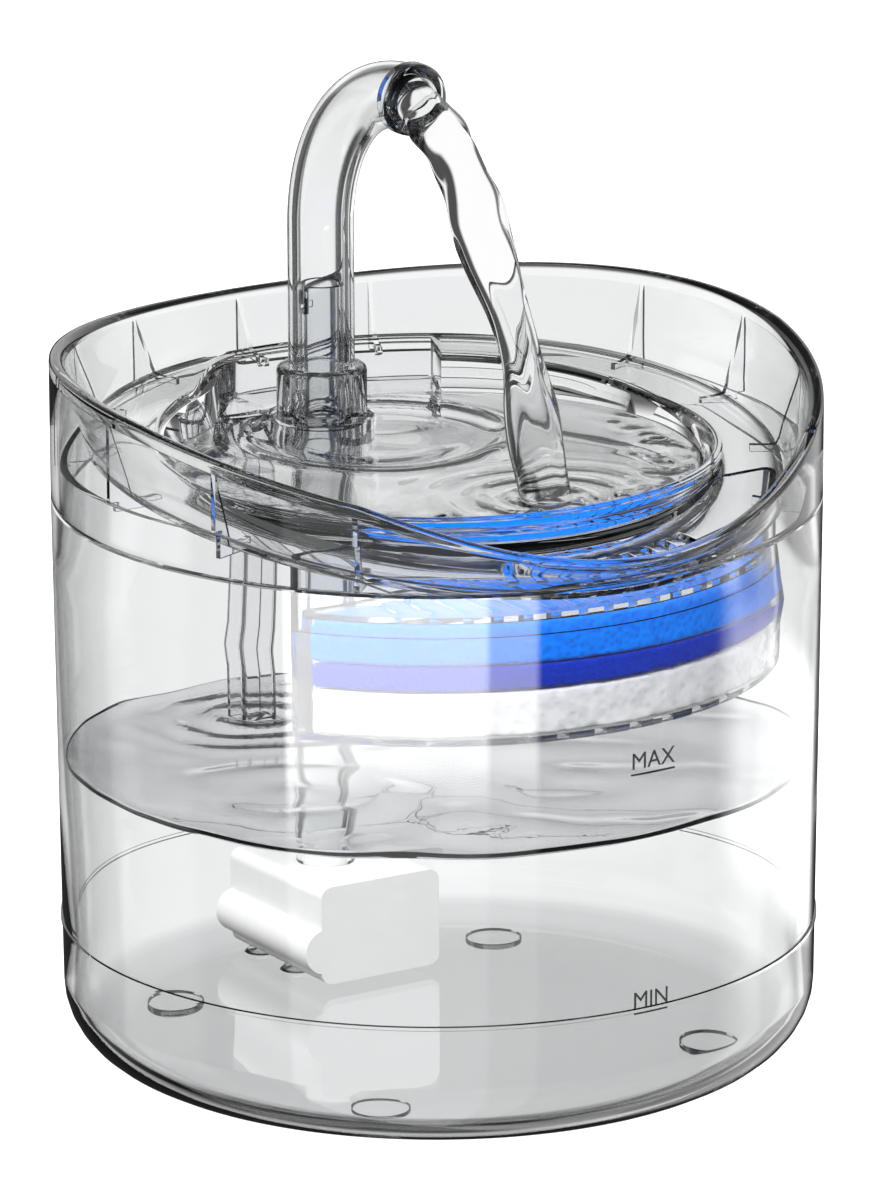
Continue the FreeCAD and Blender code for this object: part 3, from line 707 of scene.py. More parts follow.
class Finish(Enum):
    """Every finish of the fountain."""

    # The tank has painted grey shade on its floor, under base_level.
    TANK = Clear("clear_tank", bump=0.0015, painted_shade_color=(0.77, 0.775, 0.78))
    TRAY = Clear("clear_tray", wave_scale=18.0, bump=0.0015)
    TUBE = Clear("clear_tube", rough_high=0.0, bump=0.0)
    FILTER = Clear("clear_filter", bump=0.001)
    SILICONE = Clear("clear_silicone", color=(0.975, 0.98, 0.98), ior=1.25, rough_low=0.02, rough_high=0.06)
    WATER = Clear("water", color=(0.99, 0.995, 1.0), ior=1.33, rough_high=0.0, bump=0.0)
    STREAM = Clear("falling_water", color=(1.0, 1.0, 1.0), ior=1.18, rough_high=0.0, bump=0.0)
    TANK_WATER = Clear("tank_water", color=(0.82, 0.83, 0.84), ior=1.33, rough_high=0.0, bump=0.0)
    BLUE = Foam("blue_foam", (0.0, 0.24, 1.0), (0.0, 0.17, 0.85), 700.0)
    NAVY = Foam("navy_felt", (0.0, 0.03, 0.46), (0.0, 0.02, 0.38), 1500.0, 0.3)
    COTTON = Foam("white_cotton", (0.82, 0.82, 0.82), (0.74, 0.74, 0.75), 500.0, 0.4)
    DARK_FOAM = Foam("dark_foam", (0.13, 0.13, 0.14), (0.04, 0.04, 0.05), 700.0)
    WHITE = Solid("white_plastic", (0.9, 0.9, 0.9), 0.32)
    RUBBER = Solid("dark_rubber", (0.05, 0.05, 0.05), 0.6)
    STEEL = Solid("shaft_steel", (0.72, 0.72, 0.74), 0.22, 1.0)
    MAGNET = Solid("magnet", (0.09, 0.09, 0.1), 0.45)
    CORE = Solid("core_steel", (0.45, 0.45, 0.47), 0.4, 1.0)
    COPPER = Solid("copper_wire", (0.78, 0.36, 0.17), 0.3, 1.0)
    POTTING = Solid("potting", (0.82, 0.82, 0.8), 0.4)
    MARK = Solid("level_marks", (0.02, 0.02, 0.02), 0.5)


class Workshop:
    """Holds the frame and the finished materials, and places each piece."""

    def __init__(self) -> None:
        """Loads the frame and builds the materials."""
        self.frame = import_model()
        self.cad_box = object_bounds()
        self.materials = {finish: finish.value.build() for finish in Finish}

    def dress(self, obj: bpy.types.Object, finish: Finish) -> None:
        """Gives an object one finish all over, and lets light through where it is clear."""
        obj.data.materials.clear()
        obj.data.materials.append(self.materials[finish])
        if isinstance(finish.value, Clear):
            obj.visible_shadow = False

    def node(self, name: str, finish: Finish) -> None:
        """Finishes a CAD node where it is."""
        self.dress(self.frame["nodes"][name], finish)
        log.info("node %s: %s", name, finish.name)

    def place(self, obj: bpy.types.Object, body: Body, finish: Finish, slot: str,
              replaces: Sequence[str] = ()) -> None:
        """Finishes a new piece, makes it ride on a body and hides the CAD nodes that it stands for.

        Args:
            obj: the piece.
            body: the body that it moves with.
            finish: its finish.
            slot: the record's material slot; not used.
            replaces: CAD nodes that it stands for.
        """
        self.dress(obj, finish)
        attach(obj, body.value)
        if replaces:
            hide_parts(*replaces)
        log.info("piece %s on %s", obj.name, body.value)


@dataclass
class Tank:
    """Clear tank, its feet, level marks and the water in it."""

    shop: Workshop
    steps: int = 240
    round_steps: int = 8
    flat_radii: tuple[float, float] = (20.0, 50.0)
    inside_levels: tuple[float, float] = (60.0, 115.0)
    neck_bend: tuple[float, float] = (120.0, 125.3)
    outside_levels: tuple[float, float, float] = (110.0, 75.0, 40.0)
    bead_half: float = 0.35
    bead_edge: float = 0.6
    mark_size: float = 5.6
    mark_depth: float = 0.04
    mark_line: float = 0.45
    mark_drop: float = 1.3
    mark_lift: float = 0.05
    max_level: float = 91.0
    min_level: float = 33.6
    ripples: tuple[tuple[float, ...], ...] = ((-14.0, 56.0, 1.3, 11.0, 26.0), (20.0, -30.0, 0.5, 26.0, 60.0),
                                              (-45.0, -10.0, 0.5, 22.0, 50.0))
    swells: tuple[tuple[float, float, float], ...] = ((1.6, 3.0, 30.0), (0.25, 9.0, 11.0))
    water_rings: int = 44
    water_steps: int = 180
    water_sheet: float = 1.0
    water_climb: float = 1.4
    underside_share: float = 0.75

    def shell_section(self, azimuth: float) -> list[Point2]:
        """Section of the tank, from the floor's middle over the wall to the base's middle.

        Args:
            azimuth: degrees round from the front.

        Returns:
            The (radius, height) points.
        """
        s = SIZE
        y = -s.radius * math.cos(math.radians(azimuth))
        neck_out = s.radius - s.skirt - s.neck_gap
        neck_in = neck_out - s.neck_wall
        neck_top = max(min(s.seam + s.neck_height, s.rim(y) - s.neck_dip), s.seam + 0.05)
        low, bead = FOOT_DROP + s.edge_round, FOOT_DROP + s.bead_height
        bead_r = s.outside(bead) + s.bead * 0.8
        turns = [math.pi / 2 * k / self.round_steps for k in range(self.round_steps + 1)]
        inner_foot, inner_round = s.foot_radius - s.wall, s.edge_round - s.wall
        bend, neck_foot = self.neck_bend
        points = [(r, s.floor_top) for r in (0.0, *self.flat_radii)]
        points += [(inner_foot - inner_round * (1 - math.sin(a)),
                    s.floor_top + inner_round * (1 - math.cos(a))) for a in turns]
        points += [(s.wall_inside(z), z) for z in self.inside_levels]
        points += [(lerp(s.wall_inside(bend), neck_in, 0.5), bend), (neck_in, neck_foot),
                   (neck_in, neck_top - 0.04), (neck_in + 0.25, neck_top), (neck_out - 0.25, neck_top),
                   (neck_out, neck_top - 0.04), (neck_out, s.seam), (s.radius - 0.3, s.seam),
                   (s.radius, s.seam - 0.35)]
        points += [(s.outside(z), z) for z in (*self.outside_levels, bead + self.bead_edge)]
        points += [(bead_r, bead + self.bead_half), (bead_r, bead - self.bead_half),
                   (s.outside(bead - self.bead_edge), bead - self.bead_edge)]
        points += [(s.foot_radius - s.edge_round * (1 - math.cos(a)), low - s.edge_round * math.sin(a))
                   for a in turns]
        return points + [(r, FOOT_DROP) for r in (*self.flat_radii[::-1], 0.0)]

    def water_height(self, x: float, y: float) -> float:
        """Height of the ripples on the tank's water.

        Args:
            x: place across.
            y: place along.

        Returns:
            Millimetres over the still level.
        """
        total = 0.0
        for cx, cy, height, length, reach in self.ripples:
            d = math.hypot(x - cx, y - cy)
            total += height * math.cos(2 * math.pi * d / length) * math.exp(-(d / reach) ** 2)
        return total + sum(height * noise.noise(Vector((x, y, layer)) / length)
                           for height, layer, length in self.swells)

    def water(self) -> bpy.types.Object:
        """Thin rippled sheet of water across the tank, which climbs a little at the wall."""
        radius = SIZE.wall_inside(SIZE.tank_water) - 0.3
        level = SIZE.tank_water + FOOT_DROP

        def place(share: float, step: int, drop: float) -> Vector:
            """Point of the sheet."""
            r, a = max(radius * share, 0.01), 2 * math.pi * step / self.water_steps
            x, y = r * math.cos(a), r * math.sin(a)
            lift = self.water_height(x, y) * (self.underside_share if drop else 1.0)
            climb = self.water_climb * smoothstep(radius - 4, radius, r) ** 2
            return Vector((x, y, level - drop + lift + climb))
        return Shapes.sheet("tank_water", place, self.water_rings, self.water_steps, self.water_sheet)

    def mark(self, word: str, level: float) -> bpy.types.Object:
        """Level word and its line, wrapped on the outside of the wall at the front.

        Args:
            word: the word.
            level: the height of its base line.

        Returns:
            The object.
        """
        curve = bpy.data.curves.new(word, "FONT")
        curve.body, curve.size, curve.align_x = word, self.mark_size, "CENTER"
        curve.extrude, curve.resolution_u = self.mark_depth, 3
        text = bpy.data.objects.new(word, curve)
        bpy.context.scene.collection.objects.link(text)
        dg = bpy.context.evaluated_depsgraph_get()
        mesh = bpy.data.meshes.new_from_object(text.evaluated_get(dg))
        bpy.data.objects.remove(text)
        bm = bmesh.new()
        bm.from_mesh(mesh)
        half = max(v.co.x for v in bm.verts)
        for v in bmesh.ops.create_cube(bm, size=1.0)["verts"]:
            v.co = Vector((v.co.x * 2 * half, v.co.y * self.mark_line - self.mark_drop,
                           v.co.z * 2 * self.mark_depth))
        bmesh.ops.subdivide_edges(bm, edges=bm.edges[:], cuts=2)
        for v in bm.verts:
            z, a = level + v.co.y, v.co.x / SIZE.radius
            r = SIZE.outside(z) + self.mark_lift + v.co.z
            v.co = Vector((r * math.sin(a), -r * math.cos(a), z))
        return Shapes.finish(f"level_{word.lower()}", bm, 30.0)

    def build(self) -> None:
        """Makes the tank's pieces."""
        shell = Shapes.polar("clear_tank_shell", self.shell_section, self.steps)
        self.shop.place(shell, Body.TANK, Finish.TANK, "clear_tank", ["water_tank"])
        self.shop.place(self.water(), Body.TANK, Finish.TANK_WATER, "clear_tank")
        for word, level in (("MAX", self.max_level), ("MIN", self.min_level)):
            self.shop.place(self.mark(word, level), Body.TANK, Finish.MARK, "dark_rubber")
        self.shop.node("base_feet", Finish.SILICONE)


class TrayCut:
    """Section of the tray at one azimuth, from the bowl's middle over the rim to the bowl's underside."""

    crown_in: float = 2.2
    crown_out: float = 1.45
    crown_steps: int = 14
    waist: float = 1.1

    def __init__(self, azimuth: float, share: float) -> None:
        """Finds the levels of one section.

        Args:
            azimuth: degrees round from the front.
            share: how far the bowl's wall has moved out to the rear bay, 0 to 1.
        """
        s = SIZE
        self.cosine = math.cos(math.radians(azimuth))
        self.share = share
        self.rim = s.rim(-(s.radius - 1) * self.cosine)
        self.foot_z = s.deck(-s.wall_foot * self.cosine)
        self.rise = self.rim - self.foot_z
        self.edge = lerp(s.lip - s.lip_width, s.bay, share)
        self.lip_z = s.seam + s.lip_height
        self.deck_z = s.deck(-(self.edge + 2.2) * self.cosine)
        self.top = max(self.lip_z, self.deck_z) + 0.25 * math.exp(-abs(self.lip_z - self.deck_z))
        self.floor_r = s.water_radius - s.bowl_curve

    def out(self, bowl: float, bay: float) -> float:
        """Value between the one for the bowl and the one for the rear bay."""
        return lerp(bowl, bay, self.share)

    def bowl(self) -> list[Point2]:
        """Inside of the bowl, from its middle to the lip's edge."""
        wr, wz, fz, fr, edge = SIZE.water_radius, SIZE.bowl_water, SIZE.bowl_floor, self.floor_r, self.edge
        return [(0.0, fz), (15.0, fz), (32.0, fz), (fr - 2, fz), (fr + 1.5, fz + 0.15), (fr + 5, fz + 0.9),
                (fr + 8.5, fz + 2.6), (wr - 0.9, wz - 1.2), (wr, wz),
                (self.out(wr + 1.1, edge - 1.6), self.out(wz + 2.0, wz)),
                (self.out(wr + 2.0, edge - 0.4), self.out(wz + 3.7, wz + 0.4)),
                (edge - 0.05, self.out(self.lip_z - 1.2, wz + 1.6)), (edge, max(self.top - 0.8, wz + 1.7))]

    def lip(self) -> list[Point2]:
        """Rounded lip and its outer side, drawn in at the middle where it stands high."""
        edge, top, deck_z = self.edge, self.top, self.deck_z
        drawn_in = self.waist * smoothstep(4.0, 9.0, top - deck_z)
        high = max(top - 0.8, deck_z)
        low = max(min(top - 0.8, deck_z + 1.5), deck_z)
        points = [(edge + 0.25, top - 0.25), (edge + 0.75, top), (edge + 1.25, top),
                  (edge + 1.75, max(top - 0.25, deck_z)), (edge + 2.0, high)]
        points += [(edge + 2.0 + 0.15 * t - drawn_in * math.sin(math.pi * t), lerp(high, low, t))
                   for t in (0.2, 0.4, 0.6, 0.8)]
        return points + [(edge + 2.15, low), (edge + 2.6, deck_z + 0.35 * (top > deck_z + 1))]

    def deck(self) -> list[Point2]:
        """Deck between the lip and the sloped wall's foot."""
        start = self.edge + 3.4
        end = max(SIZE.wall_foot - 2.2, self.edge + 3.6)
        return [(r, SIZE.deck(-r * self.cosine)) for r in (start, lerp(start, end, 0.5), end)]

    def wall(self) -> list[Point2]:
        """Sloped wall, the rim's rounded crown and the outside of the skirt."""
        s, foot, foot_z, rim = SIZE, SIZE.wall_foot, self.foot_z, self.rim
        points = [(foot + 0.1, foot_z + 0.5), (foot + 0.9, foot_z + 1.6)]
        points += [(foot + s.wall_lean * t, foot_z + self.rise * t) for t in (0.25, 0.5, 0.74)]
        middle = s.radius - 1.5
        for k in range(self.crown_steps + 1):
            a = math.pi * k / self.crown_steps
            inner = k < self.crown_steps / 2
            across, down_by = (self.crown_in, min(2.2, 0.22 * self.rise)) if inner else (self.crown_out, 1.0)
            points.append((middle - across * math.cos(a), rim - down_by * (1 - math.sin(a))))
        return points + [(s.radius, rim - 1.6), (s.radius, lerp(rim, s.seam, 0.5)), (s.radius, s.seam + 0.5),
                         (s.radius - 0.3, s.seam + 0.1)]

    def underside(self) -> list[Point2]:
        """Inside of the skirt, underside of the deck and underside of the bowl."""
        s, c, foot, foot_z, fr = SIZE, self.cosine, SIZE.wall_foot, self.foot_z, self.floor_r
        wr, wz, edge = s.water_radius, s.bowl_water, self.edge
        inner = s.radius - s.skirt
        join = foot_z + self.rise * (inner - s.tray_wall - foot) / s.wall_lean
        under, cup_low = self.deck_z - s.tray_wall, s.bowl_floor - s.bowl_wall
        cup_r = lerp(fr + 8.0, wr + 2.0, min(max((under - cup_low) / (wz - cup_low), 0.0), 1.0))
        out_r = self.out(cup_r, edge + 2.0)
        beside = lerp(foot, out_r, 0.4)
        points = [(inner + 0.3, s.seam + 0.1), (inner, s.seam + 0.5), (inner, lerp(s.seam, join, 0.5)),
                  (inner, join - 0.5), (inner - 0.3, join - 0.45)]
        points += [(foot + s.tray_wall + s.wall_lean * t, foot_z + self.rise * t) for t in (0.5, 0.2)]
        points += [(foot + s.tray_wall, foot_z - 0.6), (foot + 0.6, foot_z - s.tray_wall),
                   (max(beside, out_r + 0.2), s.deck(-beside * c) - s.tray_wall),
                   (out_r + 0.1, under), (out_r, under - 0.1)]
        points += [(self.out(lerp(cup_r, fr + 8, t), edge + bay_r),
                    self.out(lerp(under, cup_low + 0.4, t), wz - drop))
                   for t, bay_r, drop in ((0.5, 2.0, 1.9), (0.8, 1.8, 2.0))]
        points += [(self.out(fr + 7.5, wr + 1.4), self.out(cup_low + 0.4, wz - 2.0)),
                   (fr + 6.0, cup_low + 0.2)]
        return points + [(r, cup_low) for r in (fr + 2.0, 32.0, 15.0, 0.0)]

    def points(self) -> list[Point2]:
        """The whole section."""
        return self.bowl() + self.lip() + self.deck() + self.wall() + self.underside()


@dataclass
class Tray:
    """Clear drinking tray with its gussets, filter apron, bowl water and return duct."""

    shop: Workshop
    steps: int = 360
    gusset_count: int = 16
    gusset_thickness: float = 1.2
    gusset_bite: float = 0.5
    gusset_reach: float = 6.0
    slot_count: int = 9
    slot_width: float = 2.6
    slot_length: float = 7.0
    slot_inset: float = 2.2
    slot_pitch: float = 5.0
    boss_radius: float = 12.4
    stub_radius: float = 9.15
    stub_depth: float = 11.0
    riser_socket: float = 7.15
    feed_bore: float = 5.42
    duct_gap: float = 0.15
    water_rings: int = 60
    water_steps: int = 240
    water_sheet: float = 1.1
    underside_share: float = 0.6
    landing: tuple[float, float] = (4.0, -41.0)

    def bay_share(self, azimuth: float) -> float:
        """How far the bowl's wall has moved out to the rear bay at an azimuth."""
        s = SIZE
        back = 1 - smoothstep(s.bay_crest, s.bay_end, azimuth)
        return smoothstep(s.bay_step - 0.4, s.bay_step + 0.4, azimuth) * back

    def section(self, azimuth: float) -> list[Point2]:
        """Section of the tray at an azimuth."""
        return TrayCut(azimuth, self.bay_share(azimuth)).points()

    def gusset(self, azimuth: float) -> bpy.types.Object | None:
        """Thin rib between the skirt and the sloped wall, with a notch over the tank's neck.

        Args:
            azimuth: degrees round from the front.

        Returns:
            The rib, or None where the rim is too low for one.
        """
        s, bite = SIZE, self.gusset_bite
        sn, c = math.sin(math.radians(azimuth)), math.cos(math.radians(azimuth))
        foot_z, rim = s.deck(-s.wall_foot * c), s.rim(-(s.radius - 1) * c)
        rise = rim - foot_z
        notch_r = s.radius - s.skirt - s.neck_gap - s.neck_wall - 0.5
        notch_z = s.seam + s.neck_height + 0.5
        skirt_r = s.radius - s.skirt + 0.4
        inner_r = s.wall_foot - self.gusset_reach
        top = (skirt_r - s.wall_foot - s.tray_wall + bite) / s.wall_lean
        outline = [(s.wall_foot + s.tray_wall - bite + s.wall_lean * t, foot_z + rise * t)
                   for t in (0.0, 0.5, top)]
        if outline[2][1] < notch_z + 1.5:
            return None
        outline += [(skirt_r, notch_z), (notch_r, notch_z), (notch_r, foot_z - 3.0), (inner_r, foot_z - 3.0),
                    (inner_r, s.deck(-inner_r * c) - s.tray_wall + bite),
                    (s.wall_foot + 0.6, foot_z - s.tray_wall + bite)]
        half = self.gusset_thickness / 2
        return Shapes.prism(f"gusset_{azimuth:.0f}", outline, -half, half,
                            lambda r, z, t: Vector((r * sn + t * c, -r * c + t * sn, z)))

    def d_outline(self, inset: float, arc_steps: int = 48, corner_steps: int = 8) -> list[Point2]:
        """Plan of the filter box, drawn in by an inset.

        Args:
            inset: how far it is drawn in all round.
            arc_steps: steps round the arc.
            corner_steps: steps round each corner.

        Returns:
            The (x, y) points.
        """
        s = SIZE
        outer = s.radius - s.wall - s.filter_gap
        radius = outer - inset
        corner = max(s.filter_corner - inset, 1.0)
        cy = s.filter_depth - outer - inset - corner
        cx = math.sqrt((radius - corner) ** 2 - cy ** 2)
        start, end = math.atan2(cy, -cx), math.atan2(cy, cx)
        start += 2 * math.pi * (start < 0)
        around = [lerp(start, end + 2 * math.pi, k / arc_steps) for k in range(arc_steps + 1)]
        points = [(radius * math.cos(a), radius * math.sin(a)) for a in around]
        turns = [(cx, lerp(end, math.pi / 2, k / corner_steps)) for k in range(1, corner_steps + 1)]
        turns += [(-cx, lerp(math.pi / 2, start, k / corner_steps)) for k in range(corner_steps)]
        return points + [(x + corner * math.cos(a), cy + corner * math.sin(a)) for x, a in turns]

    def apron(self) -> bpy.types.Object:
        """Downward wall of the tray round the top of the filter box."""
        low = SIZE.apron_low
        outer, inner = self.d_outline(0.0), self.d_outline(SIZE.box_wall)

        def top(p: Point2) -> float:
            """Level where the wall meets the deck or the bowl."""
            under_deck = SIZE.deck(p[1]) - SIZE.tray_wall
            under_bowl = SIZE.bowl_floor - SIZE.bowl_wall
            return (min(under_deck, under_bowl) if math.hypot(*p) < 60 else under_deck) - 0.05
        rings = [[Vector((*p, low)) for p in outer], [Vector((*p, top(p))) for p in outer],
                 [Vector((*q, top(p))) for p, q in zip(outer, inner)], [Vector((*q, low)) for q in inner]]
        bm = bmesh.new()
        Shapes.loops(bm, rings, True)
        return Shapes.finish("filter_apron", bm, 30.0)

    def slots(self) -> list[bpy.types.Object]:
        """Cutters for the drain slots in front of the bowl."""
        inner = SIZE.lip + self.slot_inset
        outer, h = inner + self.slot_length, self.slot_width / 2
        cutters = []
        for step in range(self.slot_count):
            a = math.radians((step - (self.slot_count - 1) / 2) * self.slot_pitch)
            sn, cs = math.sin(a), math.cos(a)
            outline = [(inner, -h), (outer, -h), (outer, h), (inner, h)]
            cutters.append(Shapes.prism("slot", outline, 120.0, 150.0, lambda r, t, z, sn=sn, cs=cs: Vector(
                (r * sn + t * cs, -r * cs + t * sn, z))))
        return cutters

    def duct_block(self, name: str, grow: float, low: float, high: float) -> bpy.types.Object:
        """Block over the return duct's plan, grown all round, between two levels."""
        x0, y0, x1, y1 = SIZE.duct
        return Shapes.bar(name, (x0 - grow, y0 - grow, x1 + grow, y1 + grow), low, high)

    def ripple(self, x: float, y: float) -> float:
        """Height of the ripples on the bowl's water.

        Args:
            x: place across.
            y: place along.

        Returns:
            Millimetres over the still level.
        """
        foot = math.hypot(x, y - SIZE.spout_y + 24.0)
        land = math.hypot(x - self.landing[0], y - self.landing[1])
        total = 1.3 * math.exp(-((foot - 31.0) / 3.2) ** 2) - 0.9 * math.exp(-((foot - 25.0) / 3.5) ** 2)
        total += 0.9 * math.cos(2 * math.pi * land / 8.5) * math.exp(-(land / 22.0) ** 2)
        total += 0.6 * noise.noise(Vector((x, y, 1.0)) / 22.0)
        inside = SIZE.water_radius - math.hypot(x, y)
        lapping = math.exp(-((inside - 7.0) / 5.0) ** 2) * (1.0 - smoothstep(-25.0, 20.0, y))
        return total + 2.6 * lapping * noise.noise(Vector((x, y, 4.0)) / 6.0)

    def shore(self, azimuth: float) -> float:
        """Radius at which the water's top meets the bowl's wall.

        Args:
            azimuth: degrees round from the front.

        Returns:
            The radius, a little inside the wall.
        """
        level = SIZE.bowl_water + SIZE.water_lift
        wall = TrayCut(azimuth, self.bay_share(azimuth)).bowl()[7:]
        for (r0, z0), (r1, z1) in zip(wall, wall[1:]):
            if z0 <= level < z1:
                return lerp(r0, r1, (level - z0) / (z1 - z0)) - 0.25
        return SIZE.water_radius

    def bowl_water(self) -> bpy.types.Object:
        """Thin rippled sheet of water in the bowl and its rear bay, open round the spout and the duct."""
        s = SIZE
        azimuths = [360.0 * k / self.water_steps for k in range(self.water_steps)]
        shore = [self.shore(azimuth) for azimuth in azimuths]

        def place(share: float, step: int, drop: float) -> Vector:
            """Point of the sheet."""
            edge, a = shore[step], math.radians(azimuths[step])
            r = max(edge * share, 0.01)
            x, y = r * math.sin(a), -r * math.cos(a)
            lift = self.ripple(x, y) * (self.underside_share if drop else 1.0)
            lift *= 1 - smoothstep(edge - 4, edge, r)
            return Vector((x, y, s.bowl_water + s.water_lift - drop + lift))
        water = Shapes.sheet("bowl_water", place, self.water_rings, self.water_steps, self.water_sheet)
        hole = Shapes.post("hole", self.boss_radius + 0.2, 130.0, 160.0, (0.0, s.spout_y), 64)
        duct = self.duct_block("duct_hole", self.duct_gap, 130.0, 160.0)
        return Shapes.combine(water, [hole, duct], "DIFFERENCE")

    def build(self) -> None:
        """Makes the tray's pieces."""
        s = SIZE
        spout, level, cup_low = (0.0, s.spout_y), s.bowl_water, s.bowl_floor - s.bowl_wall
        tray = Shapes.polar("clear_tray_shell", self.section, self.steps)
        gussets = [self.gusset(k * 360.0 / self.gusset_count) for k in range(self.gusset_count)]
        boss_r = self.boss_radius
        boss = Shapes.lathe("boss", [(0.01, cup_low), (boss_r, cup_low), (boss_r, level - 0.4),
                                     (boss_r - 0.4, level), (0.01, level)], spout, 72)
        stub = Shapes.post("stub", self.stub_radius, level - self.stub_depth, level - 1, spout, 72)
        block = self.duct_block("duct_socket", 0.0, cup_low, level - 0.01)
        Shapes.combine(tray, [g for g in gussets if g] + [boss, stub, block], "UNION")
        wide, thin, step = self.riser_socket, self.feed_bore, level - 2
        bore = Shapes.lathe("bore", [(0.01, 120.0), (wide, 120.0), (wide, step), (thin, step), (thin, 150.0),
                                     (0.01, 150.0)], spout, 64)
        duct = self.duct_block("duct_cut", -s.duct_wall, 120.0, 150.0)
        Shapes.combine(tray, [bore, duct] + self.slots(), "DIFFERENCE")
        self.shop.place(tray, Body.TRAY, Finish.TRAY, "clear_tray", ["drinking_tray"])
        self.shop.place(self.apron(), Body.TRAY, Finish.TRAY, "clear_tray")
        self.shop.place(self.bowl_water(), Body.TRAY, Finish.WATER, "clear_tube")
        self.shop.node("return_duct", Finish.TUBE)


@dataclass
class Spout:
    """Bent spout, its collar, sleeve and seal, the riser and the falling water."""

    shop: Workshop
    straight: float = 44.5
    foot_lift: float = 2.6
    ring_steps: tuple[Point2, ...] = ((0.0, 8.2), (0.4, 8.6), (1.2, 8.6), (2.4, 8.6), (3.4, 8.5), (4.1, 8.1),
                                      (4.5, 7.5))
    collar_inner: float = 7.98
    collar_outer: float = 10.78
    collar_height: float = 13.0
    collar_gap: float = 0.06
    riser_inner: float = 5.45
    riser_outer: float = 7.05
    riser_low: float = 32.55
    landing: tuple[float, float, float] = (4.0, -41.0, 142.0)
    first_fall: float = 0.16
    fall_power: float = 2.1
    stream_rings: int = 90
    stream_sides: int = 40
    seed: int = 11

    @property
    def foot(self) -> float:
        """Level of the spout's foot."""
        return SIZE.bowl_water + self.foot_lift

    def path(self, steps: int = 28, straight_steps: int = 6) -> list[Vector]:
        """Centre line from the spout's foot up the straight and round the bend.

        Args:
            steps: steps round the bend.
            straight_steps: steps up the straight.

        Returns:
            The points.
        """
        s = SIZE
        bend_z = self.foot + self.straight
        points = [Vector((0.0, s.spout_y, lerp(self.foot, bend_z, k / straight_steps)))
                  for k in range(straight_steps)]
        for k in range(steps + 1):
            a = math.pi / 2 * k / steps
            points.append(Vector((0.0, s.spout_y - s.bend * (1 - math.cos(a)),
                                  bend_z + s.bend * math.sin(a))))
        return points

    def stream_radius(self, t: float, angle: float) -> float:
        """Radius of the falling water, which widens, pinches and twists.

        Args:
            t: how far down it is, 0 to 1.
            angle: angle round its centre line.

        Returns:
            The radius.
        """
        base = lerp(5.2, 6.6, smoothstep(0.0, 0.3, t)) - 2.2 * smoothstep(0.55, 0.72, t)
        base += 1.0 * smoothstep(0.78, 0.92, t)
        squash = 1.0 + 0.16 * math.cos(2 * angle + 6.0 * t)
        wobble = noise.noise(Vector((math.cos(angle), math.sin(angle), t * 7.0 + self.seed)))
        return base * squash * (1.0 + 0.3 * wobble * smoothstep(0.02, 0.2, t))

    def stream(self) -> bpy.types.Object:
        """Water that leaves the nozzle, falls in a curve and meets the bowl."""
        s = SIZE
        top = Vector((0.0, s.spout_y - s.bend - 1.0, self.foot + self.straight + s.bend))
        end = Vector(self.landing)
        height, early, late, power = top.z - end.z, self.first_fall, 1 - self.first_fall, self.fall_power
        rings = []
        for i in range(self.stream_rings + 1):
            t = i / self.stream_rings
            middle = Vector((lerp(top.x, end.x, t), lerp(top.y, end.y, t),
                             top.z - height * (early * t + late * t ** power)))
            steep = early + late * power * min(t + 0.01, 1.01) ** (power - 1)
            ahead = Vector((end.x - top.x, end.y - top.y, -height * steep)).normalized()
            side = (Vector((1, 0, 0)) - ahead * ahead.x).normalized()
            other = ahead.cross(side)
            ring = []
            for k in range(self.stream_sides):
                a = 2 * math.pi * k / self.stream_sides
                r = self.stream_radius(t, a)
                ring.append(middle + side * (r * math.cos(a)) + other * (r * math.sin(a)))
            rings.append(ring)
        bm = bmesh.new()
        caps = [[sum(r, Vector()) / len(r)] * len(r) for r in (rings[0], rings[-1])]
        Shapes.loops(bm, [caps[0]] + rings + [caps[1]], False)
        return Shapes.finish("falling_water", bm, 180.0)

    def build(self) -> None:
        """Makes the spout's pieces."""
        s, low = SIZE, SIZE.bowl_water
        centre = (0.0, s.spout_y)
        path = self.path()
        tube = Shapes.pipe("clear_spout", path, [s.spout_radius] * len(path), s.spout_bore)
        self.shop.place(tube, Body.SPOUT, Finish.TUBE, "clear_tube", ["spout"])
        outlet_y, outlet_z = s.spout_y - s.bend, self.foot + self.straight + s.bend
        ring_path = [Vector((0, outlet_y - d, outlet_z)) for d, _ in self.ring_steps]
        ring = Shapes.pipe("nozzle_lip", ring_path, [r for _, r in self.ring_steps], s.spout_bore)
        self.shop.place(ring, Body.SPOUT, Finish.TUBE, "clear_tube", ["nozzle_ring"])
        inner, outer, top = self.collar_inner, self.collar_outer, low + self.collar_height
        section = [(inner, low + self.collar_gap), (outer, low + self.collar_gap), (outer, top - 1.4),
                   (outer - 0.28, top - 0.5), (outer - 0.93, top), (inner, top)]
        collar = Shapes.lathe("clear_collar", section, centre, 72)
        self.shop.place(collar, Body.COLLAR, Finish.TUBE, "clear_tube", ["spout_collar"])
        self.shop.node("spout_seal", Finish.SILICONE)
        self.shop.node("riser_sleeve", Finish.TUBE)
        riser = [(self.riser_inner, self.riser_low), (self.riser_outer, self.riser_low),
                 (self.riser_outer, low - 2.0), (self.riser_inner, low - 2.0)]
        pipe = Shapes.lathe("clear_riser", riser, centre, 64)
        self.shop.place(pipe, Body.TRAY, Finish.TUBE, "clear_tube", ["riser_pipe"])
        self.shop.place(self.stream(), Body.SPOUT, Finish.STREAM, "clear_tube")


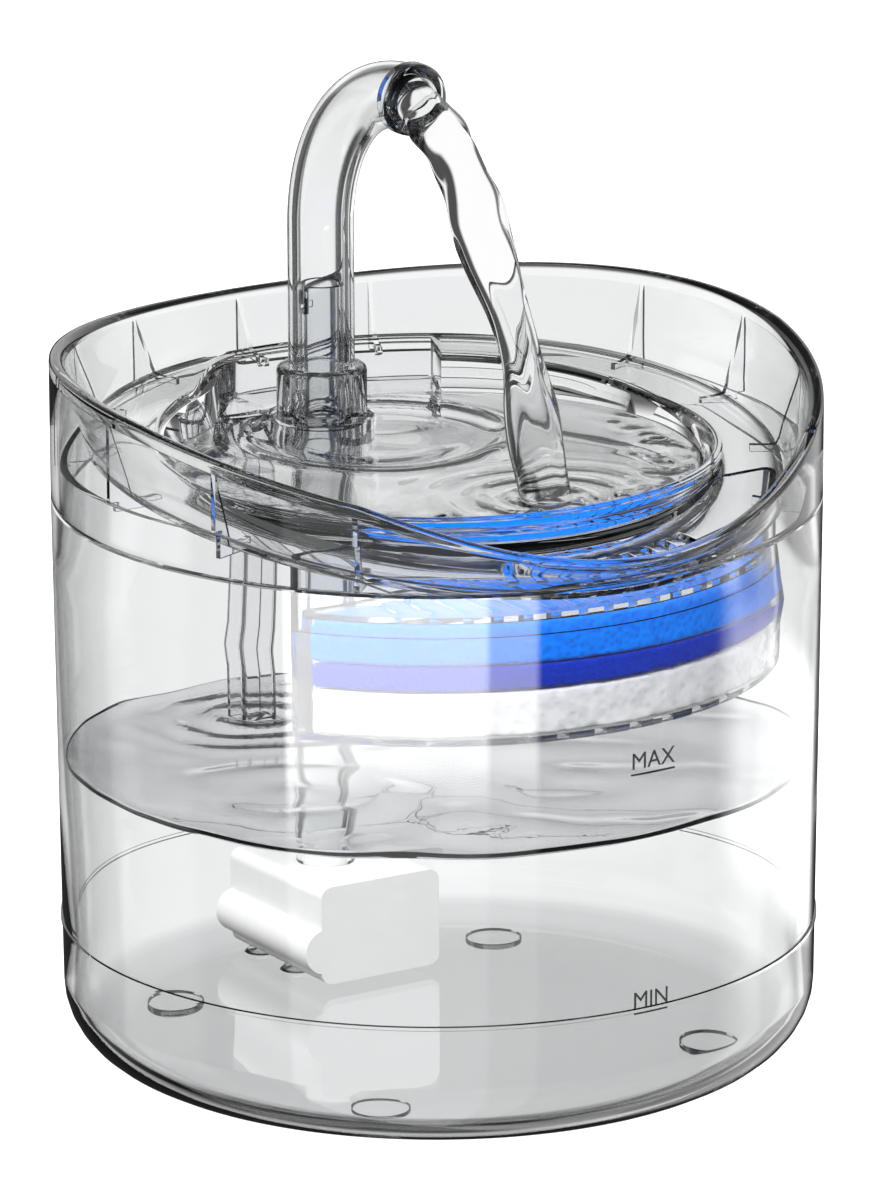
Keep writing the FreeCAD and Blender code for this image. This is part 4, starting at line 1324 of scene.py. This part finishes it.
@dataclass
class FilterPack:
    """Filter box with its grille and layers."""

    shop: Workshop
    tray: Tray
    layer_inset: float = 2.8
    cotton_top: float = 11.0
    carbon_top: float = 17.4
    sponge_top: float = 27.0
    seed: int = 5

    def layer(self, name: str, low: float, high: float, rough: float, round_by: float) -> bpy.types.Object:
        """One layer of filling: a D-shaped block with soft edges and an uneven face.

        Args:
            name: the piece's name.
            low: its lower level.
            high: its upper level.
            rough: how far its surface wanders, in millimetres.
            round_by: radius of its soft edges.

        Returns:
            The object.
        """
        block = Shapes.prism(name, self.tray.d_outline(self.layer_inset), low, high)
        start = Vector((self.seed, 0, 0))
        return Shapes.soften(block, round_by, 1.1, rough, lambda co: (
            noise.noise(co * 260.0 + start) + 0.5 * noise.noise(co * 620.0) - 0.7))

    def build(self) -> None:
        """Makes the filter's pieces."""
        low = SIZE.apron_low - SIZE.box_height + SIZE.box_wall
        cotton, carbon, sponge = low + self.cotton_top, low + self.carbon_top, low + self.sponge_top
        layers = (("cotton_layer", low, cotton, Finish.COTTON, "white_cotton", "cotton_pad", 0.3, 0.5),
                  ("carbon_felt", cotton, carbon, Finish.NAVY, "navy_felt", "carbon_layer", 0.1, 0.3),
                  ("blue_sponge", carbon, sponge, Finish.BLUE, "blue_foam", "filter_sponge", 0.1, 0.5))
        for name, z0, z1, finish, slot, node, rough, round_by in layers:
            piece = self.layer(name, z0, z1, rough, round_by)
            self.shop.place(piece, Body.FILTER, finish, slot, [node])
        self.shop.node("filter_box", Finish.FILTER)
        self.shop.node("filter_grille", Finish.FILTER)


@dataclass
class Pump:
    """Submersible pump and its insides."""

    shop: Workshop

    def sponge(self) -> bpy.types.Object:
        """Foam block behind the pump's intake slots."""
        lo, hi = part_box("intake_sponge")
        lo, hi = lo / MM, hi / MM
        block = Shapes.bar("intake_foam", (lo.x, lo.y, hi.x, hi.y), lo.z, hi.z)
        return Shapes.soften(block, 1.4, 0.9, 0.25, lambda co: noise.noise(co * 500.0) - 0.6)

    def build(self) -> None:
        """Finishes the pump's pieces."""
        foam = self.sponge()
        self.shop.place(foam, Body.COVER, Finish.DARK_FOAM, "dark_foam", ["intake_sponge"])
        finishes = {"pump_housing": Finish.WHITE, "pump_cover": Finish.WHITE, "volute_cover": Finish.WHITE,
                    "impeller": Finish.WHITE, "rotor_magnet": Finish.MAGNET, "pump_shaft": Finish.STEEL,
                    "shaft_bushes": Finish.RUBBER, "stator_core": Finish.CORE, "stator_coil": Finish.COPPER,
                    "pump_potting": Finish.POTTING, "cable_gland": Finish.RUBBER,
                    "suction_cups": Finish.SILICONE}
        for name, finish in finishes.items():
            self.shop.node(name, finish)


class Sky(Wiring):
    """World's node tree, with white surroundings and the soft boxes and dark flags that glass shows."""

    # Each sector: start and end in degrees, softness of its sides, strength.
    flags: tuple[tuple[float, ...], ...] = ((10.0, 24.0, 2.0, 0.92), (-64.0, -24.0, 3.0, 0.92),
                                            (30.0, 60.0, 3.0, 0.8), (70.0, 200.0, 4.0, 0.85),
                                            (-200.0, -100.0, 4.0, 0.85))
    level_boxes: tuple[tuple[float, ...], ...] = ((-46.0, 15.0, 1.5, 14.5), (15.0, 30.0, 1.5, 6.8),
                                                  (98.0, 155.0, 8.0, 4.5))
    tall_box: tuple[float, ...] = (98.0, 160.0, 8.0, 0.9)
    backdrop: tuple[float, ...] = (-95.0, 95.0, 12.0, 0.95)
    lit: float = 1.2
    dim: float = 0.04

    def __init__(self) -> None:
        """Starts a new world."""
        world = bpy.data.worlds.new("studio")
        world.use_nodes = True
        bpy.context.scene.world = world
        super().__init__(world.node_tree)

    def maths(self, kind: str, a: object, b: object) -> bpy.types.NodeSocket:
        """Result of a Math node of a kind on two sockets or numbers."""
        node = self.nodes.new("ShaderNodeMath")
        node.operation = kind
        return self.feed(node, {0: a, 1: b}).outputs[0]

    def total(self, *values: object) -> bpy.types.NodeSocket:
        """Sum of several sockets or numbers."""
        return functools.reduce(lambda a, b: self.maths("ADD", a, b), values)

    def times(self, *values: object) -> bpy.types.NodeSocket:
        """Product of several sockets or numbers."""
        return functools.reduce(lambda a, b: self.maths("MULTIPLY", a, b), values)

    def ramp(self, value: bpy.types.NodeSocket, *numbers: float) -> bpy.types.NodeSocket:
        """Smooth ramp of a socket: from low to high, and to low to high."""
        node = self.nodes.new("ShaderNodeMapRange")
        node.interpolation_type = "SMOOTHSTEP"
        self.feed(node, {"Value": value, **dict(zip(("From Min", "From Max", "To Min", "To Max"), numbers))})
        return node.outputs["Result"]

    def sector(self, angle: bpy.types.NodeSocket, start: float, end: float, soft: float, strength: float
               ) -> bpy.types.NodeSocket:
        """Soft-sided sector of a turn round the fountain."""
        rise = self.ramp(angle, start - soft, start + soft, 0.0, 1.0)
        return self.times(rise, self.ramp(angle, end - soft, end + soft, 1.0, 0.0), strength)

    def build(self) -> None:
        """Wires the tree."""
        coords, path = self.add("TexCoord", {}), self.add("LightPath", {})
        x, y, z = self.add("SeparateXYZ", {"Vector": coords.outputs["Generated"]}).outputs
        a = math.radians(VIEW_AZIMUTH)
        ahead = self.total(self.times(x, math.sin(a)), self.times(y, -math.cos(a)))
        right = self.total(self.times(x, math.cos(a)), self.times(y, math.sin(a)))
        degrees = 180.0 / math.pi
        turn = self.times(self.maths("ARCTAN2", right, ahead), degrees)
        beyond = self.times(self.maths("ARCTAN2", right, self.times(ahead, -1.0)), degrees)

        flags = self.total(*(self.sector(beyond, *flag) for flag in self.flags))
        heights = self.times(self.ramp(z, 0.02, 0.22, 1.0, 0.1), self.ramp(z, -0.72, -0.5, 0.1, 1.0))
        through = self.times(self.maths("SUBTRACT", 1.0, flags), heights)

        level = self.times(self.ramp(z, -0.327, -0.317, 0.12, 1.0), self.ramp(z, -0.3, -0.291, 1.0, 0.06))
        boxes = self.times(self.total(*(self.sector(turn, *box) for box in self.level_boxes)), level)
        boxes = self.total(boxes, self.sector(turn, *self.tall_box))
        boxes = self.times(boxes, self.ramp(z, -0.1, 0.0, 1.0, 0.0))
        backdrop = self.times(self.ramp(z, 0.0, 0.1, 0.0, 1.0), self.ramp(z, 0.4, 0.55, 1.0, 0.1),
                              self.sector(beyond, *self.backdrop))
        shine = self.total(boxes, backdrop, self.dim)

        camera, glossy, refracted = (path.outputs[f"Is {kind} Ray"]
                                     for kind in ("Camera", "Glossy", "Transmission"))
        mirrored = self.times(glossy, self.maths("SUBTRACT", 1.0, refracted))
        seen = self.maths("MAXIMUM", camera, self.maths("MAXIMUM", glossy, refracted))
        lit = self.times(self.maths("SUBTRACT", 1.0, seen), self.lit)
        light = self.total(camera, lit, self.times(mirrored, shine), self.times(refracted, through))
        self.feed(self.nodes["Background"], {"Strength": light, "Color": (1.0, 1.0, 1.0, 1.0)})


@dataclass
class Studio:
    """White table, soft lamps, white surroundings and the camera."""

    eye: tuple[float, float, float] = (-1089.3, -1677.3, 695.3)
    aim: tuple[float, float, float] = (-0.56, 0.37, 108.35)
    lens: float = 267.24
    roll: float = -0.004
    table_radius: float = 9000.0
    table_grey: float = 0.8
    table_glow: float = 0.2
    lamps: tuple[tuple[str, tuple[float, float, float], float, float], ...] = (
        ("key", (-0.9, -0.5, 0.9), 0.7, 22.0), ("fill", (0.8, -0.7, 0.6), 0.8, 10.0),
        ("top", (0.0, 0.2, 1.2), 0.8, 7.0))

    def floor(self) -> None:
        """Pale table that stays white to the camera and keeps a faint shadow."""
        bm = bmesh.new()
        bmesh.ops.create_circle(bm, cap_ends=True, segments=96, radius=self.table_radius)
        table = Shapes.finish("table", bm)
        mat, tree, bsdf = Wiring.material("table")
        tree.feed(bsdf, {"Base Color": (*[self.table_grey] * 3, 1.0), "Roughness": 1.0,
                         "Specular IOR Level": 0.0, "Emission Color": (1.0, 1.0, 1.0, 1.0),
                         "Emission Strength": self.table_glow})
        table.data.materials.append(mat)
        table.visible_glossy = False
        table.visible_transmission = False
        table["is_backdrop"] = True

    def lamp(self, name: str, place: Vector, size: float, power: float) -> None:
        """Square soft lamp that points at the fountain and isn't mirrored in it.

        Args:
            name: the lamp's name.
            place: where it stands, in metres.
            size: length of its side.
            power: its power in watts.
        """
        data = bpy.data.lights.new(name, "AREA")
        data.size, data.energy = size, power
        lamp = bpy.data.objects.new(name, data)
        lamp.location = place
        lamp.rotation_mode = "QUATERNION"
        lamp.rotation_quaternion = (place - Vector((0, 0, 0.1))).to_track_quat("Z", "Y")
        lamp.visible_glossy = False
        lamp.visible_transmission = False
        bpy.context.scene.collection.objects.link(lamp)

    def camera(self) -> None:
        """Camera where the photograph was taken from."""
        data = bpy.data.cameras.new("camera")
        data.lens, data.sensor_width = self.lens, 36.0
        data.clip_start, data.clip_end = 0.05, 50.0
        cam = bpy.data.objects.new("camera", data)
        eye, aim = Vector(self.eye) * MM, Vector(self.aim) * MM
        cam.rotation_mode = "QUATERNION"
        cam.location = eye
        cam.rotation_quaternion = (aim - eye).to_track_quat("-Z", "Y") @ Quaternion((0, 0, 1), self.roll)
        bpy.context.scene.collection.objects.link(cam)
        bpy.context.scene.camera = cam

    def build(self) -> None:
        """Sets the studio up."""
        scene = bpy.context.scene
        scene.view_settings.view_transform = "Standard"
        scene.cycles.max_bounces = 32
        scene.cycles.transmission_bounces = 32
        scene.cycles.glossy_bounces = 12
        scene.cycles.transparent_max_bounces = 32
        self.camera()
        self.floor()
        Sky().build()
        for name, place, size, power in self.lamps:
            self.lamp(name, Vector(place), size, power)


def main() -> None:
    logging.basicConfig(level=logging.INFO)
    shop = Workshop()
    Studio().build()
    Tank(shop).build()
    tray = Tray(shop)
    tray.build()
    Spout(shop).build()
    FilterPack(shop, tray).build()
    Pump(shop).build()
    seen_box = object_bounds()
    {"cad": [list(c) for c in shop.cad_box], "visual": [list(c) for c in seen_box]}


if __name__ == "__main__":
    main()
